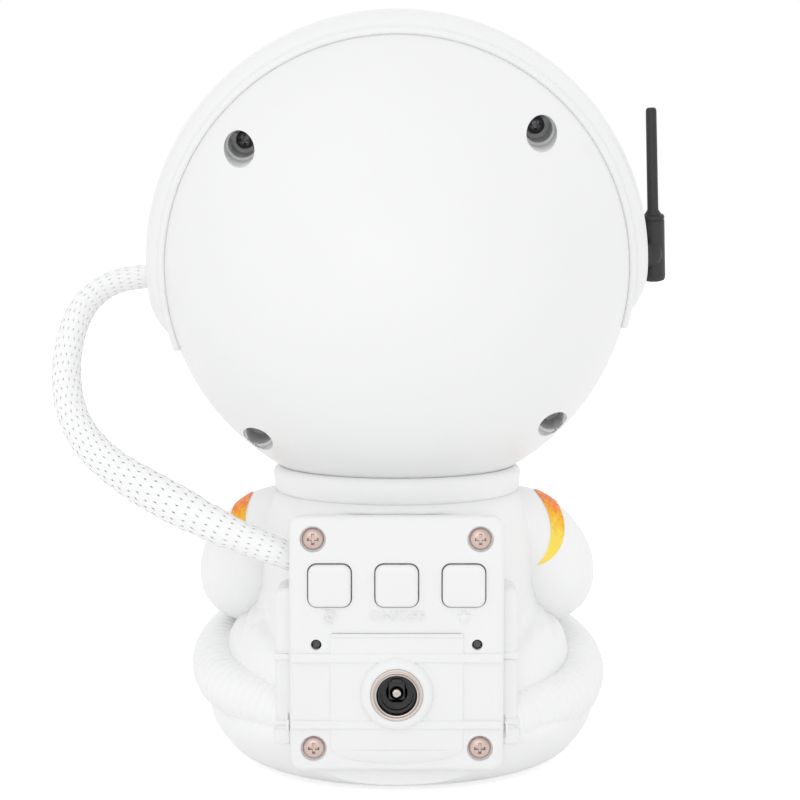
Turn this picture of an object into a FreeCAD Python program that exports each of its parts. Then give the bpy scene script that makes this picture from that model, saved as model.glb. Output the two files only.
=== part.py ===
import FreeCAD, Part
import math
import os
import re
import Sketcher

# Seated astronaut planetarium projector, in millimetres.
#
# Frame: Z up from the table, the origin under the middle of the anti-slip pad.
# The figure faces +Y, so its control backpack faces -Y, and +X is its right-hand
# antenna side as seen from behind.
#
# Everything inside the helmet is drawn in the helmet's own frame: the origin at
# the middle of the ball, +Y through the visor, +X through the antenna ear.  Each
# of those sub-parts is then turned by the roll and pitch that the head is set to.

App = FreeCAD
V = App.Vector

SIZES = [
    # Values that start with = follow the other sizes.
    # clearances
    ("contact_gap", 0.05, "air between pieces that are cut to each other"),
    ("push_fit", 0.02, "radial play of a pressed-in piece"),
    ("running_gap", 0.05, "radial play of every shaft"),
    ("screw_play", 0.2, "round a screw that passes through"),
    ("thread_play", 0.03, "round a screw that cuts its own thread"),
    # helmet
    ("ball_radius", 69.0, "outside of the helmet ball"),
    ("ball_wall", 2.2, "wall of the helmet shells"),
    ("ball_bottom", 77.5, "lowest point of the ball above the table"),
    ("ball_height", "=ball_bottom + ball_radius", "middle of the ball above the table"),
    ("ball_inner", "=ball_radius - ball_wall", "inside of the helmet ball"),
    ("head_pitch", 8.9, "degrees the face looks up at rest"),
    ("head_roll", 2.9, "degrees the antenna ear is raised at rest"),
    ("seam_y", 2.0, "joint between the two helmet shells"),
    ("well_x", 43.2, "screw wells of the back shell, from the middle"),
    ("well_z", 43.3, "screw wells of the back shell, above and below"),
    ("well_radius", 3.7, "bore of a screw well"),
    ("well_mouth_radius", 4.4, "wider mouth of a screw well"),
    ("well_mouth_y", -27.0, "depth where the mouth steps down"),
    ("well_wall", 1.4, "wall round a screw well"),
    ("well_floor_y", -16.0, "face that the screw head sits on"),
    ("well_floor", 2.0, "floor of a screw well"),
    ("pillar_radius", 3.5, "screw pillars of the front shell"),
    ("pillar_end_y", 27.0, "where the pillars run into the front shell"),
    ("pillar_bore_y", 6.0, "end of the screw holes in the pillars"),
    ("skin", 0.5, "pillars and shelves stop this far below the ball's outside"),
    ("visor_opening", 50.0, "radius of the front shell's opening"),
    # screws
    ("tapper_head_radius", 2.7, "head of the inner screws"),
    ("tapper_head_height", 2.0, "head of the inner screws"),
    ("shank_radius", 1.3, "every screw"),
    ("slot_reach", 1.7, "arm of a cross recess"),
    ("slot_half", 0.35, "half the width of a cross recess"),
    ("slot_depth", 1.2, "cross recess"),
    ("head_screw_length", 18.0, "screw that joins the helmet shells"),
    ("chassis_screw_length", 7.5, "screw of the chassis plate"),
    ("panel_screw_length", 9.0, "screw of the backpack panel"),
    ("base_screw_length", 9.6, "screw of the base cover"),
    # headband
    ("band_lean", 6.9, "degrees the headband leans forward in the helmet"),
    ("band_low_radius", "=ball_radius + 1.5", "flange of the headband"),
    ("band_high_radius", "=ball_radius + 4.85", "raised part of the headband"),
    ("band_back_y", -17.4, "rear edge of the flange"),
    ("band_slope_y", -15.0, "foot of the slope up to the raised part"),
    ("band_crest_y", -10.0, "head of the slope"),
    ("band_front_y", 24.0, "front edge of the raised part"),
    ("band_end_drop", 21.0, "how far the flange runs below the middle"),
    ("crest_end_drop", 14.0, "how far the raised part runs below the middle"),
    ("ear_y", 12.0, "ear centre, in front of the ball's middle"),
    ("ear_z", -3.6, "ear centre, below the ball's middle"),
    ("ear_radius", 13.0, "round pad at each ear"),
    ("ear_face_x", "=ball_radius + 5", "outer face of the ear pads"),
    # visor and optics
    ("visor_radius", "=ball_radius - 1", "outside of the visor dome"),
    ("visor_wall", 2.0, "visor thickness"),
    ("visor_edge", 47.5, "rim of the visor"),
    ("trim_radius", 53.0, "outer edge of the visor trim"),
    ("trim_top_radius", "=ball_radius + 1.6", "crown of the visor trim"),
    ("barrel_radius", 13.4, "lens barrel, outside"),
    ("barrel_bore", 12.05, "lens barrel, inside"),
    ("barrel_back_y", "=disc_front_y + tube_gap", "rear end of the lens barrel"),
    ("barrel_front_y", "=ball_radius", "front end of the lens barrel"),
    ("bezel_radius", 16.5, "flange of the lens bezel"),
    ("bezel_neck", "=barrel_radius + 0.9", "neck of the lens bezel"),
    ("bezel_seat_y", "=sqrt(visor_radius ^ 2 - bezel_neck ^ 2) + 0.1", "back of the lens bezel's flange"),
    ("bezel_front_y", "=barrel_front_y + 1.5", "front of the lens bezel"),
    ("bezel_neck_length", 4.5, "neck of the lens bezel behind its flange"),
    ("lens_radius", 12.0, "projection lens"),
    ("lens_front_y", "=barrel_front_y - 1", "crown of the projection lens"),
    ("lens_thick", 8.0, "projection lens"),
    ("lens_curve", 20.0, "projection lens"),
    ("laser_drop", 24.0, "star laser below the lens axis"),
    ("laser_radius", 6.0, "laser module"),
    ("laser_length", 31.5, "laser module"),
    ("star_face_y", "=sqrt(visor_radius ^ 2 - laser_drop ^ 2)", "visor's surface in front of the laser"),
    ("star_rim_radius", 6.4, "flange of the star bezel"),
    ("star_rim_proud", 3.0, "flange of the star bezel in front of the visor"),
    ("star_neck_radius", 5.0, "neck of the star bezel"),
    ("star_neck_length", 8.0, "neck of the star bezel behind the visor's surface"),
    ("star_bore", 3.8, "opening of the star bezel"),
    ("star_window_thick", 1.5, "window of the star laser"),
    ("plate_y", 14.0, "rear face of the chassis plate"),
    ("plate_thick", 2.5, "chassis plate"),
    ("plate_front_y", "=plate_y + plate_thick", "front face of the chassis plate"),
    ("plate_radius", "=ball_radius - 12", "chassis plate"),
    ("chassis_screw_x", "=plate_radius - 4", "chassis screws from the middle"),
    ("shelf_x", "=plate_radius - 9", "inner end of the shelves"),
    ("shelf_depth", 6.0, "shelf behind the chassis plate"),
    ("shelf_half", 5.0, "half the height of a shelf"),
    ("tube_radius", 14.0, "condenser lens tube"),
    ("tube_gap", 2.0, "from the ripple disc to the tube and the barrel"),
    ("condenser_radius", 11.9, "condenser lens"),
    ("condenser_offset", 9.5, "condenser lens in front of the chassis plate"),
    ("condenser_thick", 6.0, "condenser lens"),
    ("condenser_curve", 18.0, "condenser lens"),
    ("sink_radius", 20.0, "heat sink"),
    ("sink_base", 4.0, "round base of the heat sink"),
    ("fin_pitch", 5.0, "from fin to fin"),
    ("fin_half", 0.8, "half a fin's thickness"),
    ("fin_depth", 18.0, "fins behind the base"),
    ("pedestal_radius", 11.4, "heat sink's pedestal and the lamp's board"),
    ("pedestal_height", 4.0, "pedestal in front of the plate's rear face"),
    ("lamp_board_thick", 1.6, "lamp's aluminium board"),
    ("emitter_radius", 3.5, "lamp package"),
    ("emitter_thick", 1.0, "lamp package"),
    ("emitter_dome_radius", 2.2, "lamp's lens"),
    ("emitter_dome_height", 1.9, "lamp's lens above the board"),
    ("neck_plate_radius", 16.0, "steel cap for the magnet"),
    ("neck_plate_thick", 1.6, "steel cap for the magnet"),
    # ripple drive
    ("gear_module", 1.0, "module of the ripple drive"),
    ("ring_teeth", 56.0, "teeth on the ripple disc"),
    ("pinion_teeth", 12.0, "teeth on the motor pinion"),
    ("gear_backlash", 0.30, "play between the teeth"),
    ("gear_distance", "=gear_module * (ring_teeth + pinion_teeth) / 2", "from axis to axis"),
    ("disc_lift", 19.0, "ripple disc axis above the lens axis"),
    ("disc_y", 36.0, "rear face of the ripple disc"),
    ("disc_thick", 2.0, "ripple disc"),
    ("disc_front_y", "=disc_y + disc_thick", "front face of the ripple disc"),
    ("disc_radius", "=gear_module * (ring_teeth / 2 - 2.8)", "ripple disc inside its ring gear"),
    ("ring_over", 0.4, "ring gear past each face of the disc"),
    ("pinion_over", 1.0, "pinion past each face of the disc"),
    ("spindle_radius", 2.0, "spindle of the ripple disc"),
    ("spindle_shoulder", 1.2, "shoulder behind the ripple disc"),
    ("disc_play", 0.15, "end play of the ripple disc"),
    ("clip_radius", 3.5, "clip that keeps the ripple disc"),
    ("clip_thick", 1.0, "clip that keeps the ripple disc"),
    ("motor_radius", 10.0, "gear motor"),
    ("motor_length", 16.0, "gear motor"),
    ("motor_shaft_radius", 1.5, "gear motor shaft"),
    ("motor_shaft_depth", 8.0, "shaft inside the motor"),
    # neck
    ("seat_gap", 0.3, "air between the ball and the lip of the neck collar"),
    ("seat_drop", 1.2, "air between the ball and the inner edge of the collar's seat"),
    ("collar_bottom", 79.0, "underside of the neck collar"),
    ("collar_top", 86.8, "lip of the neck collar"),
    ("lip_depth", "=ball_height - collar_top - seat_gap", "collar's lip below the ball's middle"),
    ("lip_radius", "=sqrt(ball_radius ^ 2 - lip_depth ^ 2)", "inner edge of the collar's lip"),
    ("collar_radius", "=lip_radius + 1.4", "outside of the neck collar"),
    ("collar_bore", 24.0, "opening through the neck collar"),
    ("bore_depth", "=sqrt(ball_radius ^ 2 - collar_bore ^ 2)", "ball's middle above its surface over the bore"),
    ("seat_low", "=ball_height - bore_depth - seat_drop", "inner edge of the collar's seat"),
    ("magnet_radius", 10.0, "neck magnet"),
    ("magnet_thick", 6.4, "neck magnet"),
    ("magnet_wall", 8.0, "wall of the cup round the magnet"),
    ("magnet_top", "=ball_bottom - 0.6", "top of the neck magnet"),
    ("magnet_bottom", "=magnet_top - magnet_thick", "floor of the magnet cup"),
    ("cup_floor", 3.0, "floor of the magnet cup"),
    ("cup_over", 1.0, "rim of the cup above the magnet"),
    ("cup_flange", 2.0, "thickness of the cup's flange under the trunk's top"),
    ("cup_flange_reach", 4.0, "how far the flange goes past the cup"),
    # body
    ("torso_wall", 2.2, "wall of the torso shells"),
    ("torso_split_y", 0.0, "joint between the two torso shells"),
    ("chest_radius", 41.6, "trunk at the chest"),
    ("neck_radius", 33.0, "trunk under the neck collar"),
    ("window_back_y", -10.0, "how far the trunk's rear window reaches in"),
    ("seat_wall", 2.4, "wall of the seat bowl"),
    ("seat_bottom", 1.0, "rim of the seat bowl above the table"),
    ("seat_deck", 22.0, "top of the seat bowl"),
    ("seat_foot_radius", 43.4, "bottom edge of the seat bowl"),
    ("hip_radius", "=seat_foot_radius + 5.1", "trunk where it stands on the bowl"),
    ("cover_radius", "=seat_foot_radius - 2.8", "base cover"),
    ("cover_thick", 2.4, "base cover"),
    ("cover_play", 0.1, "round the base cover and the pad"),
    ("pad_radius", 33.0, "anti-slip pad"),
    ("pad_thick", 1.6, "anti-slip pad"),
    ("base_screw_circle", "=cover_radius - 3.4", "base screws from the middle"),
    ("base_pillar_radius", 3.2, "pillars for the base screws"),
    ("base_pillar_top", 20.0, "pillars for the base screws"),
    ("base_head_height", 1.4, "head of a base screw"),
    ("base_slot_depth", 0.8, "cross recess of a base screw"),
    ("ballast_radius", 28.0, "steel ring in the base"),
    ("ballast_bore", 8.0, "steel ring in the base"),
    ("ballast_thick", 6.0, "steel ring in the base"),
    ("leg_circle", "=seat_foot_radius + 11.2", "middle line of the ribbed legs"),
    ("leg_radius", 6.5, "ribbed legs"),
    ("leg_height", 27.0, "middle of the leg ring above the table"),
    ("leg_tilt", 11.0, "degrees that the leg ring rises to the front"),
    ("ankle_radius", 11.0, "boot at the ankle"),
    ("ankle_x", 17.0, "boot at the ankle, from the middle"),
    ("ankle_y", "=leg_circle - 4.6", "boot at the ankle"),
    ("ankle_z", "=leg_height + 7", "boot at the ankle"),
    ("toe_radius", 9.5, "boot's toe"),
    ("toe_x", 11.5, "boot's toe, from the middle"),
    ("toe_y", "=leg_circle - 2.1", "boot's toe"),
    ("toe_z", "=leg_height - 1", "boot's toe"),
    ("elbow_x", 47.4, "elbow from the middle"),
    ("elbow_y", -1.0, "elbow in front of the middle"),
    ("elbow_z", 54.6, "elbow above the table"),
    ("shoulder_x", 35.0, "shoulder from the middle"),
    ("shoulder_z", 69.5, "shoulder above the table"),
    ("arm_radius", 10.4, "sleeve"),
    ("forearm_radius", "=arm_radius - 1.6", "sleeve below the elbow"),
    ("wrist_x", "=glove_x + 6", "wrist from the middle"),
    ("wrist_y", "=glove_y - 8", "wrist in front of the middle"),
    ("glove_x", 24.0, "glove from the middle"),
    ("glove_y", 50.0, "glove in front of the middle"),
    ("glove_z", 47.5, "glove above the table"),
    ("glove_radius", 8.6, "glove"),
    ("crescent_raise", 0.5, "shoulder band above the sleeve"),
    ("crescent_radius", 15.5, "outer curve of the shoulder band"),
    ("crescent_x", 33.0, "middle of the outer curve"),
    ("crescent_z", 69.0, "middle of the outer curve"),
    ("crescent_width", 2.0, "shoulder band, and how far its inner curve moves in"),
    ("crescent_low_z", 56.0, "lower end of the shoulder bands"),
    ("chest_box_half", 15.0, "half the width of the chest box"),
    ("chest_box_y", 46.0, "front of the chest box"),
    ("chest_box_low", 56.0, "bottom of the chest box"),
    ("chest_box_high", 72.0, "top of the chest box"),
    ("dial_radius", 2.6, "dials on the chest box"),
    ("dial_pitch", 9.0, "dials on the chest box"),
    ("dial_z", 68.0, "dials on the chest box"),
    ("dial_proud", 1.5, "dials on the chest box"),
    # backpack
    ("panel_y", -50.0, "rear face of the panel"),
    ("panel_thick", 3.5, "panel"),
    ("pack_rear_y", "=panel_y + panel_thick", "rear face of the backpack's housing"),
    ("panel_width", 59.2, "panel"),
    ("panel_bottom", 6.8, "panel above the table"),
    ("panel_top", 78.2, "panel above the table"),
    ("panel_corner", 3.0, "panel corners"),
    ("pack_width", 67.4, "backpack block"),
    ("pack_bottom", 14.0, "backpack block above the table"),
    ("pack_top", 57.8, "backpack block above the table"),
    ("core_width", 55.0, "narrow part of the backpack, above and below"),
    ("core_bottom", "=panel_bottom + 2", "narrow part of the backpack"),
    ("core_top", "=panel_top - 2", "narrow part of the backpack"),
    ("pack_corner", 2.5, "corners of the housing"),
    ("pack_wall", 2.0, "wall of the backpack"),
    ("pack_front_y", -33.0, "how deep the backpack reaches into the torso"),
    ("pack_pillar_radius", 3.6, "pillars for the panel screws"),
    ("screw_x", 23.0, "panel screws from the middle"),
    ("screw_low_z", 13.4, "lower panel screws"),
    ("screw_high_z", 71.9, "upper panel screws"),
    ("screw_head_radius", 3.1, "panel screw head"),
    ("screw_head_height", 1.3, "panel screw head"),
    ("screw_recess", 1.4, "depth of the screw recess"),
    ("button_size", 11.6, "square buttons"),
    ("button_gap", 0.3, "gap round a button"),
    ("button_pitch", 18.45, "from button to button"),
    ("button_z", 59.1, "buttons above the table"),
    ("button_corner", 2.2, "corner radius of a button"),
    ("button_proud", 1.6, "button above the panel"),
    ("button_travel", 0.8, "how far a button goes in"),
    ("button_lip", 1.0, "flange that keeps a button in"),
    ("lip_play", 0.25, "air between the flange and the panel"),
    ("stem_radius", 2.0, "stem of a button"),
    ("stem_gap", 0.1, "from the pressed stem to the switch"),
    ("bar_half", 18.3, "half the width of the raised bar"),
    ("bar_z", 44.6, "underside of the raised bar"),
    ("bar_height", 1.1, "raised bar"),
    ("bar_proud", 0.6, "raised bar above the panel"),
    ("strap_high_z", 37.6, "underside of the upper strap"),
    ("strap_high_height", 2.6, "upper strap"),
    ("strap_low_z", 19.0, "underside of the lower strap"),
    ("strap_low_height", 2.2, "lower strap"),
    ("strap_proud", 0.7, "straps above the panel"),
    ("pinhole_x", 22.2, "pinholes from the middle"),
    ("pinhole_z", 42.5, "pinholes above the table"),
    ("pinhole_radius", 1.25, "pinholes"),
    ("lamp_tip_radius", 1.0, "indicator lamp in its pinhole"),
    ("lamp_radius", 1.5, "indicator lamp behind the panel"),
    ("lamp_sunk", 1.2, "indicator lamp below the panel's face"),
    ("jack_z", 28.9, "power socket above the table"),
    ("boss_radius", 10.15, "boss round the socket"),
    ("boss_proud", 2.0, "boss above the panel"),
    ("jack_ring_radius", 7.5, "nickel ring"),
    ("jack_ring_proud", 0.8, "ring above the boss"),
    ("jack_radius", 5.3, "insulator of the socket"),
    ("jack_sunk", 0.3, "insulator below the boss's face"),
    ("jack_mouth", 4.6, "shallow mouth of the insulator"),
    ("jack_mouth_depth", 0.4, "mouth below the panel's face"),
    ("jack_overrun", 1.4, "insulator past the front of the housing"),
    ("socket_radius", 3.05, "hole that a 5.5 mm plug goes into"),
    ("socket_depth", 10.0, "socket below the panel's face"),
    ("jack_pin_radius", 1.25, "centre pin"),
    ("jack_pin_sunk", 3.0, "tip of the pin below the panel's face"),
    ("board_y", -38.4, "rear face of the control board"),
    ("board_thick", 1.6, "control board"),
    ("board_half", 24.5, "half the width of the control board"),
    ("board_low", 37.0, "bottom of the control board"),
    ("board_high", 66.0, "top of the control board"),
    ("board_corner", 1.5, "corners of the control board"),
    ("switch_half", 3.0, "half a switch's width"),
    ("switch_body", 3.2, "switch without its key"),
    ("switch_height", 3.9, "switch with its key"),
    ("switch_key_radius", 1.75, "key of a switch"),
    # hose and antenna
    ("hose_diameter", 8.4, "braided hose"),
    ("sleeve_wall", 1.1, "wall of the hose's socket and gland"),
    ("gland_play", 0.3, "round the hose in its gland"),
    ("gland_depth", 4.0, "gland inside the ear pad"),
    ("gland_proud", 1.2, "gland outside the ear pad"),
    ("socket_out_x", -28.6, "outer end of the hose's socket"),
    ("socket_in_x", -25.6, "inner end of the hose's socket"),
    ("hose_in_y", -40.8, "hose's socket"),
    ("hose_in_z", 65.0, "hose's socket"),
    ("knob_radius", 6.1, "antenna knob"),
    ("knob_thick", 5.0, "antenna knob"),
    ("spigot_radius", 2.5, "pivot of the antenna knob"),
    ("spigot_length", 5.0, "pivot of the antenna knob"),
    ("spigot_room", 0.4, "air behind the pivot"),
    ("antenna_gap", 0.2, "air between the knob and the ear pad"),
    ("antenna_x", "=ear_face_x + 3.7", "antenna barrel from the middle"),
    ("antenna_barrel_radius", 3.45, "antenna barrel"),
    ("antenna_barrel_low", 8.9, "antenna barrel below the ear"),
    ("antenna_barrel_high", 11.4, "antenna barrel above the ear"),
    ("antenna_rod_radius", 1.65, "antenna rod"),
    ("antenna_grip", 5.0, "rod inside its barrel"),
    ("antenna_tip", 43.2, "antenna tip above the ear"),
]

doc = App.newDocument("star_projector")
sheet = doc.addObject("Spreadsheet::Sheet", "Sizes")
for row, (alias, value, meaning) in enumerate(SIZES, start=1):
    sheet.set("A%d" % row, meaning)
    sheet.set("B%d" % row, str(value))
    sheet.setAlias("B%d" % row, alias)
doc.recompute()

ALIASES = {alias for alias, value, meaning in SIZES}

BIG = 200
PAST = 1
PRESSURE_ANGLE = math.radians(20)
ADDENDUM = 0.85
DEDENDUM = 1.1

# Radius over the hips' and height over the seat, then radius over the chest's and height above the table.
HIP_LINE = ((0.0, 0.0), (0.1, 4.0), (-2.1, 10.0))
CHEST_LINE = ((0.8, 40.0), (-1.2, 48.0), (-0.4, 57.0), (0.0, 65.0), (-2.2, 73.0))
# Radius over the foot's and height over the bowl's rim.
BOWL_LINE = ((0.0, 0.0), (4.0, 1.6), (7.9, 5.4), (11.3, 10.0), (12.6, 14.0), (10.5, 19.0))
# Collar outline: radius under the rim's, and height over its underside or under its lip.
COLLAR_FOOT = ((1.6, 0.0), (0.5, 0.7), (0.0, 2.2))
COLLAR_LIP = ((0.0, 2.6), (0.4, 0.9), (1.1, 0.0))

# The hose's route, from the ear gland round to the backpack's socket.
HOSE_ROUTE = (
    (-72.0, 12.4, 141.2),
    (-80.6, 12.3, 140.4),
    (-87.4, 11.0, 137.5),
    (-92.8, 8.0, 132.4),
    (-96.2, 3.6, 125.4),
    (-97.8, -2.2, 116.8),
    (-96.9, -9.0, 107.8),
    (-93.0, -16.0, 99.5),
    (-86.5, -23.0, 92.6),
    (-77.2, -30.0, 86.9),
    (-65.9, -36.0, 81.6),
    (-53.4, -40.6, 75.7),
    (-40.9, -42.0, 69.9),
    (-28.0, -40.8, 65.0),
)
HOSE_TRIM = 0.45


def size(alias):
    """A driving dimension, read back from the sheet."""
    return float(sheet.get(alias))


def on_sheet(formula):
    """The formula with every alias written the way the expression engine reads it."""
    return re.sub(r"[a-z_]+", lambda m: ("Sizes." if m.group() in ALIASES else "") + m.group(), str(formula))


def bind(thing, prop, formula):
    """Ties one property to the sheet."""
    thing.setExpression(prop, on_sheet(formula))


def seat(thing, x, y, z):
    """Ties the position of a primitive to the sheet."""
    for axis, formula in zip("xyz", (x, y, z)):
        bind(thing, ".Placement.Base." + axis, formula)
    return thing


def span(middle, reach):
    """The two ends of a stretch that reaches equally far both ways."""
    return "(%s) - (%s)" % (middle, reach), "(%s) + (%s)" % (middle, reach)


# ---------------------------------------------------------------- primitives

TURNS = {
    "X": App.Rotation(V(0, 1, 0), 90),
    "Y": App.Rotation(V(1, 0, 0), -90),
    "Z": App.Rotation(),
}
ALL = (-BIG, BIG)


def rod(along, radius, low, high, at=(0, 0)):
    """A cylinder along one axis; `at` holds its other two coordinates in X, Y, Z order."""
    thing = doc.addObject("Part::Cylinder", "Rod")
    bind(thing, "Radius", radius)
    bind(thing, "Height", "(%s) - (%s)" % (high, low))
    thing.Placement = App.Placement(V(), TURNS[along])
    spot = list(at)
    spot.insert("XYZ".index(along), low)
    return seat(thing, *spot)


def block(x, y, z):
    """A box from three (low, high) pairs."""
    thing = doc.addObject("Part::Box", "Block")
    for prop, (low, high) in zip(("Length", "Width", "Height"), (x, y, z)):
        bind(thing, prop, "(%s) - (%s)" % (high, low))
    return seat(thing, x[0], y[0], z[0])


def ball(radius, at=(0, 0, 0), along="Y"):
    """A full sphere with its poles along one axis, and its seam turned down when that is Y."""
    thing = doc.addObject("Part::Sphere", "Ball")
    bind(thing, "Radius", radius)
    seam = App.Rotation(V(0, 0, 1), 90 if along == "Y" else 0)
    thing.Placement = App.Placement(V(), TURNS[along].multiply(seam))
    return seat(thing, *at)


def fuse(*things):
    """One solid out of several."""
    joined = doc.addObject("Part::MultiFuse", "Join")
    joined.Shapes = list(things)
    joined.Refine = True
    return joined


def cut(base, *tools):
    """The base without the tools."""
    result = doc.addObject("Part::Cut", "Cut")
    result.Base = base
    result.Tool = tools[0] if len(tools) == 1 else fuse(*tools)
    return result


def cut_each(base, *tools):
    """The base without the tools, taken off one after the other."""
    for tool in tools:
        base = cut(base, tool)
    return base


def common(*things):
    """What all the things share."""
    shared = doc.addObject("Part::MultiCommon", "Common")
    shared.Shapes = list(things)
    return shared


def group(name, things):
    """Separate pieces that share one sub-part."""
    together = doc.addObject("Part::Compound", name)
    together.Links = things
    return together


def tube(along, outer, inner, low, high, at=(0, 0)):
    """A straight ring or tube."""
    bore = rod(along, inner, "(%s) - %d" % (low, PAST), "(%s) + %d" % (high, PAST), at)
    return cut(rod(along, outer, low, high, at), bore)


def spherical(outer, inner):
    """A closed spherical shell round the origin."""
    return cut(ball(outer), ball(inner))


def in_front(y):
    """Everything in front of a plane."""
    return block(ALL, (y, BIG), ALL)


def behind(y):
    """Everything behind a plane."""
    return block(ALL, (-BIG, y), ALL)


def above(z):
    """Everything above a plane."""
    return block(ALL, ALL, (z, BIG))


def feature(name, shape):
    """A shape made by Part's own functions, for outlines that no primitive has."""
    thing = doc.addObject("Part::Feature", name)
    thing.Shape = shape
    return thing


def lathe(points):
    """A closed outline of (radius, height) points turned round Z."""
    wire = Part.makePolygon([V(r, 0, z) for r, z in points] + [V(points[0][0], 0, points[0][1])])
    return Part.Face(wire).revolve(V(0, 0, 0), V(0, 0, 1), 360)


def smooth_lathe(points):
    """A solid turned round Z whose outside is one smooth line through the points."""
    curve = Part.BSplineCurve()
    curve.interpolate([V(r, 0, z) for r, z in points])
    first = V(0, 0, points[0][1])
    last = V(0, 0, points[-1][1])
    edges = [
        Part.LineSegment(first, V(points[0][0], 0, first.z)).toShape(),
        curve.toShape(),
        Part.LineSegment(V(points[-1][0], 0, last.z), last).toShape(),
        Part.LineSegment(last, first).toShape(),
    ]
    return Part.Face(Part.Wire(edges)).revolve(V(0, 0, 0), V(0, 0, 1), 360)


# ------------------------------------------------------- PartDesign sub-parts


def body_plate(name, x, z, rear, thick, corner):
    """A PartDesign body: a rectangle in X and Z, padded along +Y, with rounded corners."""
    body = doc.addObject("PartDesign::Body", name)
    plane = next(f for f in body.Origin.OriginFeatures if f.Role == "XZ_Plane")
    sketch = body.newObject("Sketcher::SketchObject", name + "_outline")
    sketch.AttachmentSupport = [(plane, "")]
    sketch.MapMode = "FlatFace"
    bind(sketch, ".AttachmentOffset.Base.z", "-(%s)" % rear)
    first = {"left": -20, "right": 20, "bottom": -10, "top": 10}
    corners = [V(first[side], first[end], 0) for side, end in
               (("left", "bottom"), ("right", "bottom"), ("right", "top"), ("left", "top"))]
    for i in range(4):
        sketch.addGeometry(Part.LineSegment(corners[i], corners[(i + 1) % 4]), False)
    for i in range(4):
        sketch.addConstraint(Sketcher.Constraint("Coincident", i, 2, (i + 1) % 4, 1))
    for i, way in enumerate(("Horizontal", "Vertical", "Horizontal", "Vertical")):
        sketch.addConstraint(Sketcher.Constraint(way, i))
    for way, line, label, formula in (
        ("DistanceX", 0, "left", x[0]),
        ("DistanceX", 1, "right", x[1]),
        ("DistanceY", 0, "bottom", z[0]),
        ("DistanceY", 2, "top", z[1]),
    ):
        index = sketch.addConstraint(Sketcher.Constraint(way, -1, 1, line, 1, first[label]))
        sketch.renameConstraint(index, label)
        bind(sketch, "Constraints." + label, formula)
    pad = body.newObject("PartDesign::Pad", name + "_pad")
    pad.Profile = sketch
    pad.Reversed = True
    bind(pad, "Length", thick)
    doc.recompute()
    upright = [
        "Edge%d" % (i + 1)
        for i, edge in enumerate(pad.Shape.Edges)
        if abs(edge.tangentAt(edge.FirstParameter).y) > 0.99
    ]
    rounding = body.newObject("PartDesign::Fillet", name + "_corners")
    rounding.Base = (pad, upright)
    bind(rounding, "Radius", corner)
    body.Tip = rounding
    doc.recompute()
    return body


def head_place():
    """Where the helmet's own frame stands: pitched up, then rolled."""
    pitch = App.Rotation(V(1, 0, 0), size("head_pitch"))
    roll = App.Rotation(V(0, 1, 0), -size("head_roll"))
    return App.Placement(V(0, 0, size("ball_height")), roll.multiply(pitch))


HEAD = head_place()
SUBPARTS = []


def subpart(label, thing, place=None):
    """Names a finished sub-part, and puts it where it belongs."""
    if place is not None:
        if thing.TypeId in ("Part::Cylinder", "Part::Sphere", "Part::Box"):
            thing = group("Placed", [thing])
        thing.Placement = place
    thing.Label = label
    SUBPARTS.append(thing)
    return thing


def head_part(label, thing):
    """A sub-part drawn in the helmet's frame."""
    return subpart(label, thing, HEAD)


def helmet_spot(x, y, z):
    """A placement in the helmet's frame, moved by (x, y, z)."""
    return HEAD.multiply(App.Placement(V(x, y, z), App.Rotation()))


# -------------------------------------------------------------------- screws


def cross(middle, depth):
    """The two bars of a cross recess; `middle` is (x, z) and `depth` the pair along Y."""
    x, z = middle
    return [block(span(x, wide), depth, span(z, tall))
            for wide, tall in (("slot_reach", "slot_half"), ("slot_half", "slot_reach"))]


def pan_screw(face, head_radius, head_height, length, at):
    """A pan-head screw along +Y whose head rests on `face`, with a cross recess."""
    top = "(%s) - %s" % (face, head_height)
    head = rod("Y", head_radius, top, face, at)
    shank = rod("Y", "shank_radius", face, "(%s) + %s" % (face, length), at)
    return cut(fuse(head, shank), *cross(at, (top + " - %d" % PAST, top + " + slot_depth")))


# ------------------------------------------------------------- helmet shells

EAR_AT = ("ear_y", "ear_z")
CHASSIS_SCREWS = [("-chassis_screw_x", 0), ("chassis_screw_x", 0)]
WELLS = [(sx + "well_x", sz + "well_z") for sx in ("", "-") for sz in ("", "-")]


def helmet_back_shell():
    """The rear half of the ball, with four stepped screw wells."""
    walls = [spherical("ball_radius", "ball_inner")]
    holes = []
    for at in WELLS:
        walls.append(common(
            rod("Y", "well_radius + well_wall", "-ball_radius", "well_floor_y + well_floor", at),
            ball("ball_radius")))
        holes.append(rod("Y", "well_radius", "-ball_radius", "well_floor_y", at))
        holes.append(rod("Y", "well_mouth_radius", "-ball_radius", "well_mouth_y", at))
        holes.append(rod("Y", "shank_radius + screw_play", "-ball_radius", "0", at))
    return common(cut(fuse(*walls), *holes), behind("seam_y"))


def helmet_front_shell():
    """The front half, with the visor opening, four pillars and two shelves for the chassis."""
    shell = common(spherical("ball_radius", "ball_inner"), in_front("seam_y"))
    solids = [cut(shell, rod("Y", "visor_opening", "0", BIG))]
    holes = []
    thread = "shank_radius + thread_play"
    for at in WELLS:
        pillar = rod("Y", "pillar_radius", "well_floor_y + well_floor", "pillar_end_y", at)
        solids.append(common(pillar, ball("ball_radius - skin")))
        holes.append(rod("Y", thread, "-ball_radius", "pillar_bore_y", at))
    for x in (("-ball_radius", "-shelf_x"), ("shelf_x", "ball_radius")):
        shelf = block(x, ("plate_front_y", "plate_front_y + shelf_depth"), ("-shelf_half", "shelf_half"))
        solids.append(common(shelf, ball("ball_radius - skin")))
    for at in CHASSIS_SCREWS:
        holes.append(rod("Y", thread, "plate_y", "plate_front_y + shelf_depth - contact_gap", at))
    return cut(fuse(*solids), *holes)


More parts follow.
